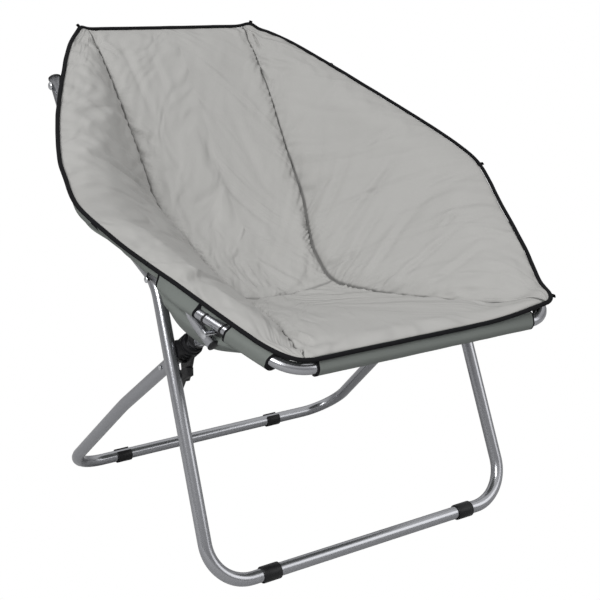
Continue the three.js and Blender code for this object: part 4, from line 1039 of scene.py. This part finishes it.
# Tops of the front legs: a zinc bolt with a domed head outside and a cap nut inside the rim tube, a black
# spacer between leg and rim, and a black cap in the end of the leg.
ZINC = grained("bright_zinc", (0.62, 0.63, 0.65), 0.24, metallic=1.0, grain=1100, cloud=40, tone=0.12,
               rough_spread=0.12, bump=0.08, depth=0.05 * MM)[0]
LEG_BOLT_PROFILE = ((-54, 0), (-53.6, 2.4), (-51, 4.4), (-48, 5.2), (-47.9, 3), (11.2, 3), (11.3, 7.2),
                    (12.4, 7.3), (14.4, 5.4), (15.4, 2.6), (15.6, 0))
SPACER_PROFILE = ((264.6, 3.2), (264.6, 7.5), (282.6, 7.5), (282.6, 3.2), (264.6, 3.2))
LEG_CAP_PROFILE = ((-8, 0), (-8, 8.6), (-0.2, 8.8), (-0.2, 11.6), (1.6, 11.4), (3.4, 8.6), (4, 0))


def end_cap(name, line, side, profile):
    """A plastic cap in one end of a tube, turned to its end's direction."""
    cap = turned(profile)
    end, before = (line[0], line[1]) if line[0].x * side > 0 else (line[-1], line[-2])
    facing = (end - before).normalized().to_track_quat("X", "Z").to_matrix().to_4x4()
    bmesh.ops.transform(cap, matrix=Matrix.Translation(end) @ facing, verts=cap.verts)
    return finish_mesh(name, cap, BLACK_PLASTIC)


for word, side in (("left", -1), ("right", 1)):
    bolt = finish_mesh(f"leg_top_bolt_{word}", turned(LEG_BOLT_PROFILE, side, LEG_TOP), ZINC)
    fitted(bolt, "front_legs", f"front_leg_bolt_{word}", "zinc")
    spacer = turned(SPACER_PROFILE, side, (0, LEG_TOP.y, LEG_TOP.z))
    spacer = finish_mesh(f"leg_top_spacer_{word}", spacer, BLACK_PLASTIC)
    fitted(spacer, "front_legs", f"leg_spacer_{word}", "black_plastic")
    cap = end_cap(f"leg_top_cap_{word}", TUBE_LINES["front_leg"], side, LEG_CAP_PROFILE)
    fitted(cap, "front_legs", f"front_leg_plug_{word}", "black_plastic")

# Hinges: a zinc pin through the tail of the rear rim and the end of the front rim on each side, a black bush
# between the two tubes, and a black cap in the end of each. They sit closer in than in CAD, as the tubes do.
PIN_PROFILE = ((302, 0), (302, 3.4), (303.4, 4.6), (306.6, 4.8), (306.8, 2.8), (349.4, 2.8), (349.6, 5.2),
               (350.6, 5), (351.8, 3), (352.2, 0))
BUSH_PROFILE = ((326.8, 3.1), (326.8, 7.4), (335.4, 7.4), (335.4, 3.1), (326.8, 3.1))
CAP_PROFILE = ((-8, 0), (-8, 7), (-0.2, 7.2), (-0.2, 9.6), (1.4, 9.4), (2.6, 7), (3, 0))
for word, side in (("left", -1), ("right", 1)):
    for label, profile, material, finish in (
        ("pin", PIN_PROFILE, ZINC, "zinc"),
        ("bush", BUSH_PROFILE, BLACK_PLASTIC, "black_plastic"),
    ):
        piece = finish_mesh(f"rim_hinge_{label}_{word}", turned(profile, side, HINGE_POINT), material)
        fitted(piece, "front_rim_half", f"hinge_{label}_{word}", finish)
    for rim, body, node in (
        ("rear_rim", "rear_rim_half", "tail_plug"),
        ("front_rim", "front_rim_half", "front_rim_plug"),
    ):
        cap = end_cap(f"{rim}_cap_{word}", TUBE_LINES[rim], side, CAP_PROFILE)
        fitted(cap, body, f"{node}_{word}", "black_plastic")

# Carried over from the CAD model: the ribbed hubs, collars, feet, the lock's lever and pin, the rivets, and
# the rear legs' bolts and plugs. Their edges are softened, and they get the nylon or the zinc.
EDGE_SOFTNESS = 0.5 * MM
SHARP_ANGLE = math.radians(35)
for name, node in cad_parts.items():
    if node.hide_render:
        continue
    metal = any(word in name for word in ("bolt", "pin", "rivet"))
    node.data.materials.clear()
    node.data.materials.append(ZINC if metal else BLACK_PLASTIC)
    weld = node.modifiers.new("weld", "WELD")
    weld.merge_threshold = 0.02 * MM
    soft = node.modifiers.new("soft_edges", "BEVEL")
    soft.width = EDGE_SOFTNESS * (0.5 if metal else 1)
    soft.segments = 2
    soft.limit_method = "ANGLE"
    soft.angle_limit = SHARP_ANGLE
    for polygon in node.data.polygons:
        polygon.use_smooth = True

# Stage: a plain pale floor that the camera sees as white, soft light from all round and from two lamps, and
# the photograph's camera.
FLOOR_REACH = 6
LAMP_AIM = Vector((0, 0, 0.5))
CAMERA_DOWN, CAMERA_TURN = 0.2661, -0.586
bm = bmesh.new()
bmesh.ops.create_grid(bm, x_segments=1, y_segments=1, size=FLOOR_REACH)
floor_paint, nodes, links, shader = new_material("floor_white", (0.5, 0.5, 0.5), 0.9)
glow = nodes.new("ShaderNodeEmission")
glow.inputs["Color"].default_value = (1, 1, 1, 1)
glow.inputs["Strength"].default_value = 1.0
seen = nodes.new("ShaderNodeLightPath")
blend = nodes.new("ShaderNodeMixShader")
links.new(seen.outputs["Is Camera Ray"], blend.inputs["Fac"])
links.new(shader.outputs[0], blend.inputs[1])
links.new(glow.outputs[0], blend.inputs[2])
links.new(blend.outputs[0], nodes["Material Output"].inputs["Surface"])
floor = finish_mesh("floor", bm, floor_paint)

world = bpy.data.worlds.new("studio")
bpy.context.scene.world = world
world.use_nodes = True
nodes, links = world.node_tree.nodes, world.node_tree.links
backdrop = nodes["Background"]
backdrop.inputs["Strength"].default_value = 0.86
where = nodes.new("ShaderNodeTexCoord")
upright = nodes.new("ShaderNodeSeparateXYZ")
sky = nodes.new("ShaderNodeValToRGB")
sky.color_ramp.elements[0].position = 0.0
sky.color_ramp.elements[0].color = (0.5, 0.5, 0.5, 1)
sky.color_ramp.elements[1].position = 0.75
sky.color_ramp.elements[1].color = (1, 1, 1, 1)
horizon = sky.color_ramp.elements.new(0.12)
horizon.color = (0.32, 0.32, 0.33, 1)
links.new(where.outputs["Generated"], upright.inputs[0])
links.new(upright.outputs["Z"], sky.inputs["Fac"])
links.new(sky.outputs["Color"], backdrop.inputs["Color"])
white = nodes.new("ShaderNodeBackground")
white.inputs["Strength"].default_value = 1
white.inputs["Color"].default_value = (1, 1, 1, 1)
paths = nodes.new("ShaderNodeLightPath")
choose = nodes.new("ShaderNodeMixShader")
links.new(paths.outputs["Is Camera Ray"], choose.inputs["Fac"])
links.new(backdrop.outputs[0], choose.inputs[1])
links.new(white.outputs[0], choose.inputs[2])
links.new(choose.outputs[0], nodes["World Output"].inputs["Surface"])

for label, place, size, power in (
    ("key_light", (-2.45, -1.5, 2.2), 1.3, 76),
    ("fill_light", (2.0, -2.4, 1.6), 2.0, 19),
):
    lamp = bpy.data.lights.new(label, "AREA")
    lamp.size = size
    lamp.energy = power
    holder = bpy.data.objects.new(label, lamp)
    bpy.context.scene.collection.objects.link(holder)
    holder.location = place
    holder.rotation_euler = (LAMP_AIM - holder.location).to_track_quat("-Z", "Y").to_euler()

lens = bpy.data.cameras.new("camera")
lens.sensor_width = 36
lens.lens = 67.8
camera = bpy.data.objects.new("camera", lens)
bpy.context.scene.collection.objects.link(camera)
camera.location = on_floor(-1053.4, -1370, 886.6)
camera.rotation_euler = (math.radians(90) - CAMERA_DOWN, 0, CAMERA_TURN)
bpy.context.scene.camera = camera
bpy.context.scene.view_settings.view_transform = "Standard"
